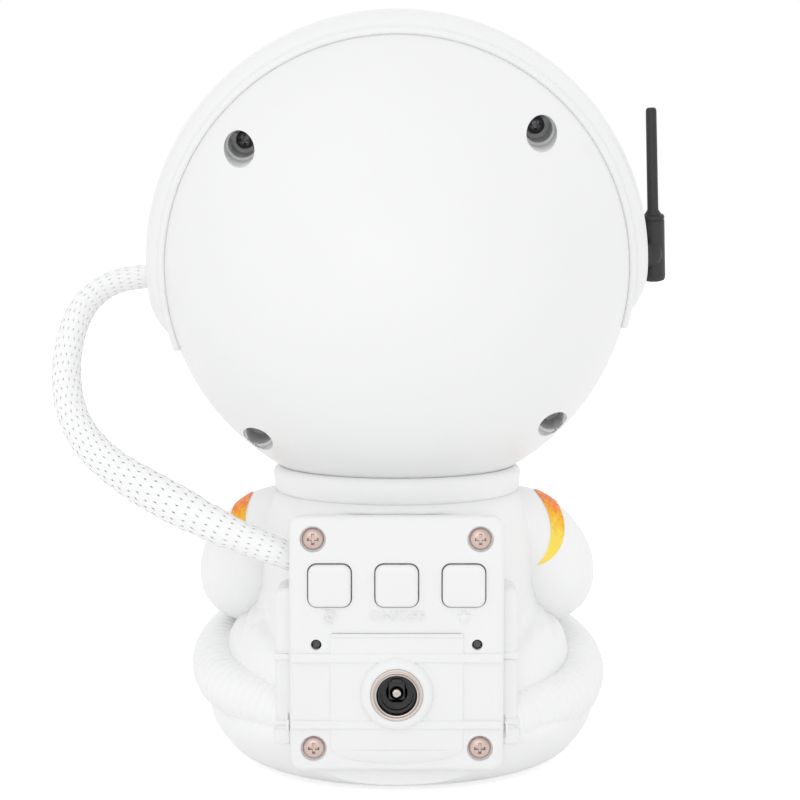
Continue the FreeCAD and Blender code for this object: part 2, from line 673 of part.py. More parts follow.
def head_screws():
    """Four self-tapping screws at the bottom of the wells."""
    return group("HeadScrews", [
        pan_screw("well_floor_y", "tapper_head_radius", "tapper_head_height", "head_screw_length", at)
        for at in WELLS])


def headband_arch():
    """The band over the helmet: a low flange, a raised part and a round pad at each ear."""
    lean = App.Placement(V(), App.Rotation(V(1, 0, 0), -size("band_lean")))
    flange_room = block(ALL, ("band_back_y", "band_front_y"), ("-band_end_drop", BIG))
    flange = common(ball("band_low_radius"), flange_room)
    slope = doc.addObject("Part::Cone", "Slope")
    bind(slope, "Radius1", "band_low_radius - 1")
    bind(slope, "Radius2", "band_high_radius")
    bind(slope, "Height", "band_crest_y - band_slope_y")
    slope.Placement = App.Placement(V(), TURNS["Y"])
    seat(slope, 0, "band_slope_y", 0)
    rise = common(ball("band_high_radius"), slope, above("-crest_end_drop"))
    crest_room = block(ALL, ("band_crest_y", "band_front_y"), ("-crest_end_drop", BIG))
    crest = common(ball("band_high_radius"), crest_room)
    leaning = group("LeaningBand", [fuse(flange, rise, crest)])
    leaning.Placement = lean
    pads = rod("X", "ear_radius", "-ear_face_x", "ear_face_x", EAR_AT)
    hollow = ball("ball_radius + contact_gap")
    gland = rod("X", "hose_diameter / 2 + sleeve_wall + contact_gap", -BIG, "-ear_face_x + gland_depth", EAR_AT)
    pivot = rod("X", "spigot_radius + running_gap", "ear_face_x - spigot_length - spigot_room", BIG, EAR_AT)
    return cut_each(fuse(leaning, pads), hollow, gland, pivot)


def hose_gland():
    """The sleeve in the ear pad that the hose comes out of."""
    return tube("X", "hose_diameter / 2 + sleeve_wall", "hose_diameter / 2 + gland_play",
                "-ear_face_x - gland_proud", "-ear_face_x + gland_depth", EAR_AT)


def visor_trim():
    """The ring that frames the visor, hooked over the edge of the front shell."""
    over = common(spherical("trim_top_radius", "ball_radius + contact_gap"), rod("Y", "trim_radius", 0, BIG))
    hook = common(spherical("trim_top_radius", "visor_radius - visor_wall"),
                  rod("Y", "visor_opening - cover_play", 0, BIG))
    return cut(fuse(over, hook), rod("Y", "visor_edge + cover_play", 0, BIG))


def visor():
    """The dark dome, with a hole for the lens bezel and one for the star laser."""
    dome = common(spherical("visor_radius", "visor_radius - visor_wall"), rod("Y", "visor_edge", 0, BIG))
    return cut(dome,
               rod("Y", "bezel_neck + cover_play", 0, BIG),
               rod("Y", "star_neck_radius + cover_play", 0, BIG, (0, "-laser_drop")))


def lens_bezel():
    """The ring round the projection lens, clipped into the visor."""
    neck = rod("Y", "bezel_neck", "bezel_seat_y - bezel_neck_length", "bezel_front_y")
    flange = rod("Y", "bezel_radius", "bezel_seat_y", "bezel_front_y")
    return cut(fuse(neck, flange), rod("Y", "barrel_radius + contact_gap", 0, BIG))


def projection_lens():
    """A plano-convex lens, flat side to the lamp."""
    return common(rod("Y", "lens_radius", "lens_front_y - lens_thick", "lens_front_y"),
                  ball("lens_curve", (0, "lens_front_y - lens_curve", 0)))


def condenser_lens():
    """A plano-convex lens in the rear tube."""
    back = "plate_front_y + condenser_offset"
    return common(rod("Y", "condenser_radius", back, back + " + condenser_thick"),
                  ball("condenser_curve", (0, back + " + condenser_thick - condenser_curve", 0)))


LASER_AT = (0, "-laser_drop")


def star_bezel():
    """The small ring round the star laser's window."""
    front = "star_face_y + star_rim_proud"
    rim = rod("Y", "star_rim_radius", "star_face_y - 2 * visor_wall", front, LASER_AT)
    flange = cut(rim, ball("visor_radius + contact_gap"))
    neck = rod("Y", "star_neck_radius", "star_face_y - star_neck_length", front + " - contact_gap", LASER_AT)
    return cut(fuse(neck, flange), rod("Y", "star_bore", 0, BIG, LASER_AT))


def chassis_plate():
    """The round plate that carries the lamp, motor and laser."""
    outline = rod("Y", "plate_radius", "plate_y", "plate_front_y")
    holes = [rod("Y", "pedestal_radius + cover_play", 0, BIG),
             rod("Y", "2 * motor_shaft_radius", 0, BIG, MOTOR_AT)]
    holes += [rod("Y", "shank_radius + screw_play", 0, BIG, at) for at in CHASSIS_SCREWS]
    return cut(outline, *holes)


def chassis_screws():
    """Two screws that hold the chassis plate on the shelves."""
    return group("ChassisScrews", [
        pan_screw("plate_y", "tapper_head_radius", "tapper_head_height", "chassis_screw_length", at)
        for at in CHASSIS_SCREWS])


def heat_sink():
    """A round base with fins behind it and a pedestal through the chassis plate."""
    base = rod("Y", "sink_radius", "plate_y - sink_base", "plate_y")
    solids = [base, rod("Y", "pedestal_radius", "plate_y - %d" % PAST, "plate_y + pedestal_height")]
    for step in range(-3, 4):
        fin = block(span("%d * fin_pitch" % step, "fin_half"),
                    ("plate_y - sink_base - fin_depth", "plate_y - sink_base + %d" % PAST), ALL)
        solids.append(common(fin, rod("Y", "sink_radius", -BIG, BIG)))
    return fuse(*solids)


def led_emitter():
    """The lamp itself, a domed package on the aluminium board."""
    back = "plate_y + pedestal_height + lamp_board_thick"
    return fuse(rod("Y", "emitter_radius", back, back + " + emitter_thick"),
                rod("Y", "emitter_dome_radius", back, back + " + emitter_dome_height"))


def steel_neck_plate():
    """A cap of sheet steel inside the bottom of the ball, for the neck magnet."""
    outer = "ball_inner - contact_gap"
    cap = cut(ball(outer, along="Z"), ball(outer + " - neck_plate_thick", along="Z"))
    return common(cap, rod("Z", "neck_plate_radius", -BIG, 0))


# ------------------------------------------------------------- ripple drive

DISC_AT = (0, "disc_lift")
MOTOR_AT = ("gear_distance", "disc_lift")


def involute(radius, base):
    """Polar angle of an involute at this radius, measured from its start."""
    if radius <= base:
        return 0.0
    pressure = math.acos(base / radius)
    return math.tan(pressure) - pressure


def gear_outline(teeth, turn):
    """The outline of a spur gear, its first tooth centred on `turn` (radians)."""
    module = size("gear_module")
    pitch = module * teeth / 2
    base = pitch * math.cos(PRESSURE_ANGLE)
    tip = pitch + ADDENDUM * module
    root = pitch - DEDENDUM * module
    start = max(base, root)
    middle = math.pi / (2 * teeth) - size("gear_backlash") / (4 * pitch) + involute(pitch, base)
    flank = [start + (tip - start) * i / 3 for i in range(4)]
    one_side = [(r, middle - involute(r, base)) for r in flank]
    if root < base:
        one_side.insert(0, (root, middle))
    points = []
    for tooth in range(int(teeth)):
        centre = turn + 2 * math.pi * tooth / teeth
        for r, a in one_side:
            points.append(V(r * math.cos(centre - a), 0, r * math.sin(centre - a)))
        for r, a in reversed(one_side):
            points.append(V(r * math.cos(centre + a), 0, r * math.sin(centre + a)))
    return Part.Face(Part.makePolygon(points + [points[0]]))


def gear_solid(teeth, turn, over, hole):
    """A gear round the disc's plane, `over` past each of its faces, with a round hole."""
    low = size("disc_y") - over
    wide = size("disc_thick") + 2 * over
    blank = gear_outline(teeth, turn).extrude(V(0, wide, 0))
    blank.translate(V(0, low, 0))
    return blank.cut(Part.makeCylinder(hole, wide, V(0, low, 0), V(0, 1, 0)))


def ring_gear():
    """The toothed rim glued round the ripple disc, one tooth pointing at the pinion."""
    return feature("RingGear", gear_solid(size("ring_teeth"), 0.0, size("ring_over"), size("disc_radius")))


def motor_pinion():
    """The small gear on the motor's shaft, with a gap facing the disc."""
    teeth = size("pinion_teeth")
    gap_turn = math.pi + math.pi / teeth
    return feature("Pinion", gear_solid(teeth, gap_turn, size("pinion_over"), size("motor_shaft_radius")))


def disc_spindle():
    """The fixed axle of the ripple disc, with a shoulder behind it."""
    shoulder = rod("Y", "spindle_radius + spindle_shoulder", "plate_front_y", "disc_y - disc_play", DISC_AT)
    axle = rod("Y", "spindle_radius", "disc_y - %d" % PAST, CLIP_Y + " + 1.4 * clip_thick", DISC_AT)
    return fuse(shoulder, axle)


CLIP_Y = "disc_front_y + disc_play + contact_gap"


# --------------------------------------------------------------------- torso


def torso_outline(grow):
    """The figure's trunk, from the hips up to the neck."""
    hip = size("hip_radius") + grow
    deck = size("seat_deck")
    chest = size("chest_radius") + grow
    line = [(hip + r, deck + z) for r, z in HIP_LINE]
    line += [(chest + r, z) for r, z in CHEST_LINE]
    line.append((size("neck_radius") + grow, size("collar_bottom") + grow))
    return smooth_lathe(line)


def trunk_tool():
    """The trunk with air round it, for cutting its neighbours."""
    return feature("TrunkTool", torso_outline(size("contact_gap")))


def torso_shell():
    """The hollow trunk, open at the bottom, with a window for the control board."""
    outer = feature("TorsoOuter", torso_outline(0))
    inner = feature("TorsoInner", torso_outline(-size("torso_wall")))
    window = block(span("0", "core_width / 2 - pack_wall"), (-BIG, "window_back_y"),
                   ("core_bottom + pack_wall", "core_top - pack_wall"))
    neck = rod("Z", "magnet_radius + magnet_wall + cover_play", "seat_deck", BIG)
    return cut(outer, inner, window, neck)


def capsule(start, end, radius):
    """A round-ended rod between two points."""
    way = end - start
    solid = Part.makeCylinder(radius, way.Length, start, way)
    for spot in (start, end):
        solid = solid.fuse(Part.makeSphere(radius, spot))
    return solid.removeSplitter()


def arm_solid(side, grow=0.0):
    """Upper arm and forearm."""
    shoulder = V(side * size("shoulder_x"), 0, size("shoulder_z"))
    elbow = V(side * size("elbow_x"), size("elbow_y"), size("elbow_z"))
    wrist = V(side * size("wrist_x"), size("wrist_y"), size("glove_z"))
    upper = capsule(shoulder, elbow, size("arm_radius") + grow)
    return upper.fuse(capsule(elbow, wrist, size("forearm_radius") + grow)).removeSplitter()


def arm(side):
    """A sleeve, hollowed out where the trunk, the leg, the boot and the collar are."""
    collar = rod("Z", "collar_radius + contact_gap", "collar_bottom - contact_gap", BIG)
    return cut_each(feature("Sleeve", arm_solid(side)), trunk_tool(), leg_tool(), boot_tool(side), collar)


def shoulder_band(side):
    """A painted crescent round the armhole, a raised strip on the sleeve."""
    skin = feature("BandSkin", arm_solid(side, size("crescent_raise")))
    core = feature("BandCore", arm_solid(side, size("contact_gap")))
    width = size("crescent_width")
    x = size("crescent_x")
    z = size("crescent_z")
    along = V(0, 1, 0)
    wide = Part.makeCylinder(size("crescent_radius"), BIG, V(side * x, -BIG / 2, z), along)
    inward = V(side * (x - width), -BIG / 2, z - width / 2)
    narrow = Part.makeCylinder(size("crescent_radius") - width, BIG, inward, along)
    crescent = feature("Crescent", wide.cut(narrow))
    return common(cut(skin, core, trunk_tool()), crescent, above("crescent_low_z"))


def leg_tool():
    """The whole ring that the legs follow, with air round it."""
    return leg_torus("leg_radius + contact_gap", 0, 360)


def leg_torus(radius, start, sweep):
    """A stretch of the tilted ring that the two legs follow."""
    ring = doc.addObject("Part::Torus", "LegRing")
    bind(ring, "Radius1", "leg_circle")
    bind(ring, "Radius2", radius)
    ring.Angle3 = sweep
    tilt = App.Rotation(V(1, 0, 0), size("leg_tilt"))
    ring.Placement = App.Placement(V(), tilt.multiply(App.Rotation(V(0, 0, 1), start)))
    return seat(ring, 0, 0, "leg_height")


LEG_SWEEP = 152
LEG_STARTS = {1: -62, -1: 90.1}


def leg(side):
    """One ribbed leg, from beside the backpack round to its boot."""
    pack = block(span("0", "pack_width / 2 + contact_gap"), (-BIG, 0), ALL)
    toes = block((-BIG, "ankle_x") if side > 0 else ("-ankle_x", BIG), (0, BIG), ALL)
    return cut_each(leg_torus("leg_radius", LEG_STARTS[side], LEG_SWEEP), pack, toes,
                    bowl_tool(), trunk_tool(), boot_tool(side))


def other_side(side):
    """Everything past the middle plane from this side's limbs."""
    return block((-BIG, "contact_gap") if side > 0 else ("-contact_gap", BIG), ALL, ALL)


def boot_solid(side, grow=0.0):
    """A round-toed boot with its sole facing forward and down."""
    balls = []
    for name in ("ankle", "toe"):
        middle = V(side * size(name + "_x"), size(name + "_y"), size(name + "_z"))
        balls.append(Part.makeSphere(size(name + "_radius") + grow, middle))
    return balls[0].fuse(balls[1]).removeSplitter()


def boot_tool(side):
    """A boot with air round it, for cutting its neighbours."""
    return feature("BootTool", boot_solid(side, size("contact_gap")))


def boot(side):
    """A boot cut clear of the trunk, the seat and its neighbour."""
    return cut_each(feature("Boot", boot_solid(side)), bowl_tool(), trunk_tool(), other_side(side))


def glove(side):
    """A closed mitten resting on the boot's ankle."""
    palm = Part.makeSphere(size("glove_radius"), V(side * size("glove_x"), size("glove_y"), size("glove_z")))
    sleeve = feature("SleeveTool", arm_solid(side, size("contact_gap")))
    return cut_each(feature("Glove", palm), sleeve, boot_tool(side), leg_tool())


def seat_outline(grow):
    """The smooth bowl that the figure sits in."""
    foot = size("seat_foot_radius") + grow
    line = [(foot + r, size("seat_bottom") + z) for r, z in BOWL_LINE]
    line.append((size("hip_radius") + grow, size("seat_deck") + grow))
    return smooth_lathe(line)


def bowl_tool():
    """The bowl with air round it, for cutting its neighbours."""
    return feature("BowlTool", seat_outline(size("contact_gap")))


def seat_shell():
    """The bowl, hollow, with four pillars for the base screws and a notch for the backpack."""
    outer = feature("SeatOuter", seat_outline(0))
    hollow = feature("SeatInner", seat_outline(-size("seat_wall")))
    rear = "pack_rear_y + contact_gap"
    flat = block(span("0", "pack_width / 2 + contact_gap"), (-BIG, rear), ALL)
    back = common(block(span("0", "pack_width / 2"), (rear, rear + " + seat_wall"), (-BIG, "seat_deck")),
                  feature("SeatBack", seat_outline(0)))
    pillars = [rod("Z", "base_pillar_radius", "seat_bottom + cover_thick", "base_pillar_top", spot)
               for spot in BASE_SCREWS]
    thread_end = "seat_bottom + base_head_height + base_screw_length + %d" % PAST
    holes = [rod("Z", "shank_radius + thread_play", 0, thread_end, spot) for spot in BASE_SCREWS]
    recess = rod("Z", "cover_radius + cover_play", -PAST, "seat_bottom + cover_thick")
    return cut(fuse(cut(outer, hollow), back, *pillars), recess, flat, pack_room(), *holes)


BASE_SCREWS = [("%sbase_screw_circle * sqrt(0.5)" % sx, "%sbase_screw_circle * sqrt(0.5)" % sy)
               for sx in ("", "-") for sy in ("", "-")]


def base_cover():
    """The flat cover under the bowl, with a recess for the anti-slip pad."""
    disc = rod("Z", "cover_radius", "seat_bottom", "seat_bottom + cover_thick")
    holes = [rod("Z", "pad_radius + cover_play", 0, "pad_thick")]
    for spot in BASE_SCREWS:
        holes.append(rod("Z", "shank_radius + screw_play", 0, BIG, spot))
        holes.append(rod("Z", "tapper_head_radius + cover_play", 0, "seat_bottom + base_head_height", spot))
    return cut(disc, *holes)


def base_screws():
    """Four screws through the base cover."""
    screws = []
    for x, y in BASE_SCREWS:
        face = "seat_bottom + base_head_height"
        head = rod("Z", "tapper_head_radius", "seat_bottom", face, (x, y))
        shank = rod("Z", "shank_radius", face, face + " + base_screw_length", (x, y))
        slots = [block(span(x, wide), span(y, tall), (0, "seat_bottom + base_slot_depth"))
                 for wide, tall in (("slot_reach", "slot_half"), ("slot_half", "slot_reach"))]
        screws.append(cut(fuse(head, shank), *slots))
    return group("BaseScrews", screws)


def neck_collar():
    """The rounded ring that the helmet ball rests in, with a sloping seat."""
    rim = size("collar_radius")
    low = size("collar_bottom")
    top = size("collar_top")
    bore = size("collar_bore")
    points = [(bore, low)] + [(rim - r, low + z) for r, z in COLLAR_FOOT]
    points += [(rim - r, top - z) for r, z in COLLAR_LIP]
    points += [(size("lip_radius"), top), (bore, size("seat_low"))]
    return feature("CollarRing", lathe(points))


def magnet_cup():
    """The cup in the neck that the magnet turns in."""
    wall = "magnet_radius + magnet_wall"
    under = "collar_bottom - torso_wall - cover_play"
    outer = rod("Z", wall, "magnet_bottom - cup_floor", "magnet_top + cup_over")
    flange = rod("Z", wall + " + cup_flange_reach", under + " - cup_flange", under)
    return cut(fuse(outer, flange), rod("Z", "magnet_radius + running_gap", "magnet_bottom", BIG))


def chest_panel():
    """The small control box on the figure's chest."""
    box = block(span("0", "chest_box_half"), ("chest_radius - chest_box_half", "chest_box_y"),
                ("chest_box_low", "chest_box_high"))
    dials = [rod("Y", "dial_radius", "chest_box_y - %d" % PAST, "chest_box_y + dial_proud",
                 ("%d * dial_pitch" % step, "dial_z")) for step in (-1, 0, 1)]
    return cut(fuse(box, *dials), trunk_tool())


# ------------------------------------------------------------------ backpack

PANEL_SCREWS = [(x, z) for x in ("-screw_x", "screw_x") for z in ("screw_low_z", "screw_high_z")]
JACK_AT = (0, "jack_z")
HOSE_IN = ("hose_in_y", "hose_in_z")
STEPS = (-1, 0, 1)


def pack_room():
    """The space that the backpack fills, for cutting its neighbours."""
    low = "%s - contact_gap"
    high = "%s + contact_gap"
    wide = block(span("0", "pack_width / 2 + contact_gap"), (-BIG, "pack_front_y"),
                 (low % "pack_bottom", high % "pack_top"))
    tall = block(span("0", "core_width / 2 + contact_gap"), (-BIG, "pack_front_y"),
                 (low % "core_bottom", high % "core_top"))
    return fuse(wide, tall)


def pack_frame():
    """The housing of the backpack: a wide block and a taller, narrower core."""
    depth = "pack_front_y - pack_rear_y"
    wide = body_plate("PackBlock", span("0", "pack_width / 2"), ("pack_bottom", "pack_top"), "pack_rear_y",
                      depth, "pack_corner")
    tall = body_plate("PackCore", span("0", "core_width / 2"), ("core_bottom", "core_top"), "pack_rear_y",
                      depth, "pack_corner")
    tall_room = ("core_bottom + pack_wall", "core_top - pack_wall")
    hollow = block(span("0", "core_width / 2 - pack_wall"), ALL, tall_room)
    pillars = [rod("Y", "pack_pillar_radius", "pack_rear_y", "pack_front_y - 1.5 * pack_wall", at)
               for at in PANEL_SCREWS]
    holes = [rod("X", "hose_diameter / 2 + sleeve_wall", -BIG, "socket_in_x + screw_play", HOSE_IN)]
    thread_end = "panel_y + screw_recess + panel_screw_length + %d" % PAST
    holes += [rod("Y", "shank_radius + thread_play", -BIG, thread_end, at) for at in PANEL_SCREWS]
    walls = cut_each(fuse(wide, tall), trunk_tool(), bowl_tool(), hollow)
    posts = cut_each(fuse(*pillars), trunk_tool(), bowl_tool())
    return cut(fuse(walls, posts), *holes)


def pack_panel():
    """The rear plate: button holes, screw recesses, pinholes, bar, straps and socket boss."""
    plate = body_plate("Panel", span("0", "panel_width / 2"), ("panel_bottom", "panel_top"),
                       "panel_y", "panel_thick", "panel_corner")
    inside = "panel_y + %d" % PAST
    boss = rod("Y", "boss_radius", "panel_y - boss_proud", inside, JACK_AT)
    bar = block(span("0", "bar_half"), ("panel_y - bar_proud", inside), ("bar_z", "bar_z + bar_height"))
    straps = []
    for name in ("strap_high", "strap_low"):
        upright = (name + "_z", "%s_z + %s_height" % (name, name))
        straps.append(block(span("0", "panel_width / 2"), ("panel_y - strap_proud", inside), upright))
    holes = [
        rod("Y", "jack_radius + push_fit", -BIG, BIG, JACK_AT),
        rod("Y", "jack_ring_radius + push_fit", -BIG, "panel_y", JACK_AT),
    ]
    holes += [rod("Y", "pinhole_radius", -BIG, BIG, (x, "pinhole_z")) for x in ("-pinhole_x", "pinhole_x")]
    for at in PANEL_SCREWS:
        holes.append(rod("Y", "screw_head_radius + lip_play", -BIG, "panel_y + screw_recess", at))
        holes.append(rod("Y", "shank_radius + screw_play", -BIG, BIG, at))
    opening = "button_size / 2 + button_gap"
    for step in STEPS:
        holes.append(block(span("%d * button_pitch" % step, opening), ALL, span("button_z", opening)))
    return cut(fuse(plate, boss, bar, *straps), *holes)


def panel_screws():
    """Four pan-head screws that hold the panel."""
    return group("PanelScrews", [
        pan_screw("panel_y + screw_recess", "screw_head_radius", "screw_head_height", "panel_screw_length", at)
        for at in PANEL_SCREWS])


def push_button(step, name):
    """A square key: cap, a flange that keeps it in, and a stem to the switch."""
    centre = "%d * button_pitch" % step
    inner = "pack_rear_y + lip_play"
    tall = "button_proud + panel_thick + lip_play + button_lip / 2"
    cap = body_plate(name + "Cap", span(centre, "button_size / 2"), span("button_z", "button_size / 2"),
                     "panel_y - button_proud", tall, "button_corner")
    lip = "button_size / 2 + button_lip"
    flange = block(span(centre, lip), (inner, inner + " + button_lip"), span("button_z", lip))
    stem = rod("Y", "stem_radius", inner + " + button_lip / 2", SWITCH_TIP + " - button_travel - stem_gap",
               (centre, "button_z"))
    return fuse(cap, flange, stem)


SWITCH_TIP = "board_y - switch_height"


def tact_switches():
    """Three momentary switches on the control board."""
    switches = []
    for step in STEPS:
        x = "%d * button_pitch" % step
        room = ("board_y - switch_body", "board_y")
        case = block(span(x, "switch_half"), room, span("button_z", "switch_half"))
        key = rod("Y", "switch_key_radius", SWITCH_TIP, "board_y - switch_half", (x, "button_z"))
        switches.append(fuse(case, key))
    return group("Switches", switches)


def indicator_leds():
    """Two indicator lamps behind the pinholes."""
    lamps = []
    for x in ("-pinhole_x", "pinhole_x"):
        at = (x, "pinhole_z")
        lamps.append(fuse(rod("Y", "lamp_tip_radius", "panel_y + lamp_sunk", "board_y", at),
                          rod("Y", "lamp_radius", "pack_rear_y + 2 * lip_play", "board_y", at)))
    return group("Lamps", lamps)


def jack_body():
    """The black insulator of the power socket."""
    core = rod("Y", "jack_radius", "panel_y - boss_proud + jack_sunk", "pack_front_y + jack_overrun", JACK_AT)
    mouth = rod("Y", "jack_mouth", -BIG, "panel_y + jack_mouth_depth", JACK_AT)
    return cut(core, mouth, rod("Y", "socket_radius", -BIG, "panel_y + socket_depth", JACK_AT))


def hose():
    """A tube along straight runs joined by tangent arcs as large as the runs allow."""
    points = [V(*point) for point in HOSE_ROUTE]
    edges = []
    last = points[0]
    radii = []
    for before, corner, after in zip(points, points[1:], points[2:]):
        into = (corner - before).normalize()
        out = (after - corner).normalize()
        half_turn = into.getAngle(out) / 2
        trim = HOSE_TRIM * min(corner.distanceToPoint(before), corner.distanceToPoint(after))
        radii.append(trim / math.tan(half_turn))
        start = corner - into * trim
        end = corner + out * trim
        inward = ((start + end) * 0.5 - corner).normalize()
        bulge = radii[-1] / math.cos(half_turn) - radii[-1]
        edges.append(Part.LineSegment(last, start).toShape())
        edges.append(Part.Arc(start, corner + inward * bulge, end).toShape())
        last = end
    edges.append(Part.LineSegment(last, points[-1]).toShape())
    path = Part.Wire(edges)
    radius = size("hose_diameter") / 2
    ring = Part.Wire(Part.makeCircle(radius, points[0], points[1] - points[0]))
    solid = path.makePipeShell([ring], True, False)
    expected = math.pi * radius ** 2 * path.Length
    print("hose length %.1f, volume %.0f of %.0f expected" % (path.Length, solid.Volume, expected))
    print("hose bend radii", ", ".join("%.0f" % r for r in radii))
    if abs(solid.Volume / expected - 1) > 0.02:
        raise ValueError("the hose's tube is not whole")
    return feature("HoseTube", solid)


# ------------------------------------------------------------------- antenna

ROD_AT = ("antenna_x", "ear_y")
ROD_FOOT = "ear_z + antenna_barrel_high - antenna_grip"


def antenna_knob():
    """The knob on its pivot, with the upright barrel that holds the rod."""
    start = "ear_face_x + antenna_gap"
    knob = rod("X", "knob_radius", start, start + " + knob_thick", EAR_AT)
    pivot = rod("X", "spigot_radius", "ear_face_x - spigot_length", start + " + %d" % PAST, EAR_AT)
    barrel_top = "ear_z + antenna_barrel_high"
    barrel = rod("Z", "antenna_barrel_radius", "ear_z - antenna_barrel_low", barrel_top, ROD_AT)
    return cut(fuse(knob, pivot, barrel), rod("Z", "antenna_rod_radius", ROD_FOOT, BIG, ROD_AT))


# --------------------------------------------------------------------- build

head_part("helmet_back_shell", helmet_back_shell())
head_part("helmet_front_shell", helmet_front_shell())
head_part("head_screws", head_screws())
head_part("headband_arch", headband_arch())
head_part("hose_gland", hose_gland())
head_part("visor_trim", visor_trim())
head_part("visor", visor())
head_part("lens_bezel", lens_bezel())
head_part("lens_barrel", tube("Y", "barrel_radius", "barrel_bore", "barrel_back_y", "barrel_front_y"))
head_part("projection_lens", projection_lens())
head_part("star_bezel", star_bezel())
head_part("star_window", rod("Y", "star_bore - contact_gap", "star_face_y - star_window_thick", "star_face_y",
                             LASER_AT))
head_part("laser_module", rod("Y", "laser_radius", "plate_front_y", "plate_front_y + laser_length", LASER_AT))
head_part("chassis_plate", chassis_plate())
head_part("chassis_screws", chassis_screws())
head_part("heat_sink", heat_sink())
head_part("led_board", rod("Y", "pedestal_radius", "plate_y + pedestal_height",
                           "plate_y + pedestal_height + lamp_board_thick"))
head_part("led_emitter", led_emitter())
head_part("lens_tube", tube("Y", "tube_radius", "condenser_radius + contact_gap", "plate_front_y",
                            "disc_y - tube_gap"))
head_part("condenser_lens", condenser_lens())
head_part("neck_plate", steel_neck_plate())

head_part("disc_spindle", disc_spindle())
head_part("disc_clip", tube("Y", "clip_radius", "spindle_radius", CLIP_Y, CLIP_Y + " + clip_thick", DISC_AT))
head_part("ripple_disc", tube("Y", "disc_radius", "spindle_radius + running_gap", "disc_y", "disc_front_y",
                              DISC_AT))
subpart("ring_gear", ring_gear(), helmet_spot(0, 0, size("disc_lift")))
subpart("motor_pinion", motor_pinion(), helmet_spot(size("gear_distance"), 0, size("disc_lift")))
head_part("motor_shaft", rod("Y", "motor_shaft_radius", "plate_y - motor_shaft_depth",
                             "disc_front_y + 1.4 * pinion_over", MOTOR_AT))
head_part("drive_motor", cut(
    rod("Y", "motor_radius", "plate_y - motor_length", "plate_y", MOTOR_AT),
    rod("Y", "motor_shaft_radius + running_gap", "plate_y - motor_shaft_depth - screw_play", BIG, MOTOR_AT)))

head_part("antenna_knob", antenna_knob())
head_part("antenna_rod", rod("Z", "antenna_rod_radius", ROD_FOOT, "ear_z + antenna_tip", ROD_AT))

subpart("neck_magnet", rod("Z", "magnet_radius", "magnet_bottom + contact_gap", "magnet_top"))
subpart("magnet_cup", magnet_cup())
subpart("neck_collar", neck_collar())
subpart("torso_back_shell", common(torso_shell(), behind("torso_split_y")))
subpart("torso_front_shell", common(torso_shell(), in_front("torso_split_y")))
subpart("arms", group("Arms", [arm(side) for side in (-1, 1)]))
subpart("shoulder_bands", group("Bands", [shoulder_band(side) for side in (-1, 1)]))
subpart("gloves", group("Gloves", [glove(side) for side in (-1, 1)]))
subpart("legs", group("Legs", [leg(side) for side in (-1, 1)]))
subpart("boots", group("Boots", [boot(side) for side in (-1, 1)]))
subpart("chest_panel", chest_panel())
subpart("seat_shell", seat_shell())
subpart("base_cover", base_cover())
subpart("base_screws", base_screws())
subpart("anti_slip_pad", rod("Z", "pad_radius", 0, "pad_thick"))
subpart("ballast", tube("Z", "ballast_radius", "ballast_bore", "seat_bottom + cover_thick",
                        "seat_bottom + cover_thick + ballast_thick"))

subpart("pack_frame", pack_frame())
subpart("pack_panel", pack_panel())
subpart("panel_screws", panel_screws())
for step, name in zip(STEPS, ("nebula", "power", "star")):
    subpart("button_" + name, push_button(step, "Key" + name))
subpart("tact_switches", tact_switches())
subpart("control_board", body_plate("Board", span("0", "board_half"), ("board_low", "board_high"),
                                    "board_y", "board_thick", "board_corner"))
subpart("indicator_leds", indicator_leds())
subpart("jack_body", jack_body())
subpart("jack_ring", tube("Y", "jack_ring_radius", "jack_radius + push_fit",
                          "panel_y - boss_proud - jack_ring_proud", "panel_y", JACK_AT))
subpart("jack_pin", rod("Y", "jack_pin_radius", "panel_y + jack_pin_sunk", "panel_y + socket_depth", JACK_AT))
subpart("hose_socket", tube("X", "hose_diameter / 2 + sleeve_wall", "hose_diameter / 2",
                            "socket_out_x", "socket_in_x", HOSE_IN))
subpart("hose", hose())

doc.recompute()

for thing in doc.Objects:
    if {"Invalid", "Error"} & set(thing.State):
        raise ValueError("%s (%s) did not compute: %s" % (thing.Label, thing.Name, thing.State))
for thing in SUBPARTS:
    if thing.Shape.isNull() or not thing.Shape.isValid() or not thing.Shape.Solids:
        raise ValueError("%s has no valid solid" % thing.Label)

os.makedirs("parts", exist_ok=True)
for thing in SUBPARTS:
    thing.Shape.exportStep(os.path.join("parts", thing.Label + ".step"))
print("%d sub-parts" % len(SUBPARTS))
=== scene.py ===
import math
from bisect import bisect_right

import bmesh
import bpy
import numpy as np
from mathutils import Matrix, Vector


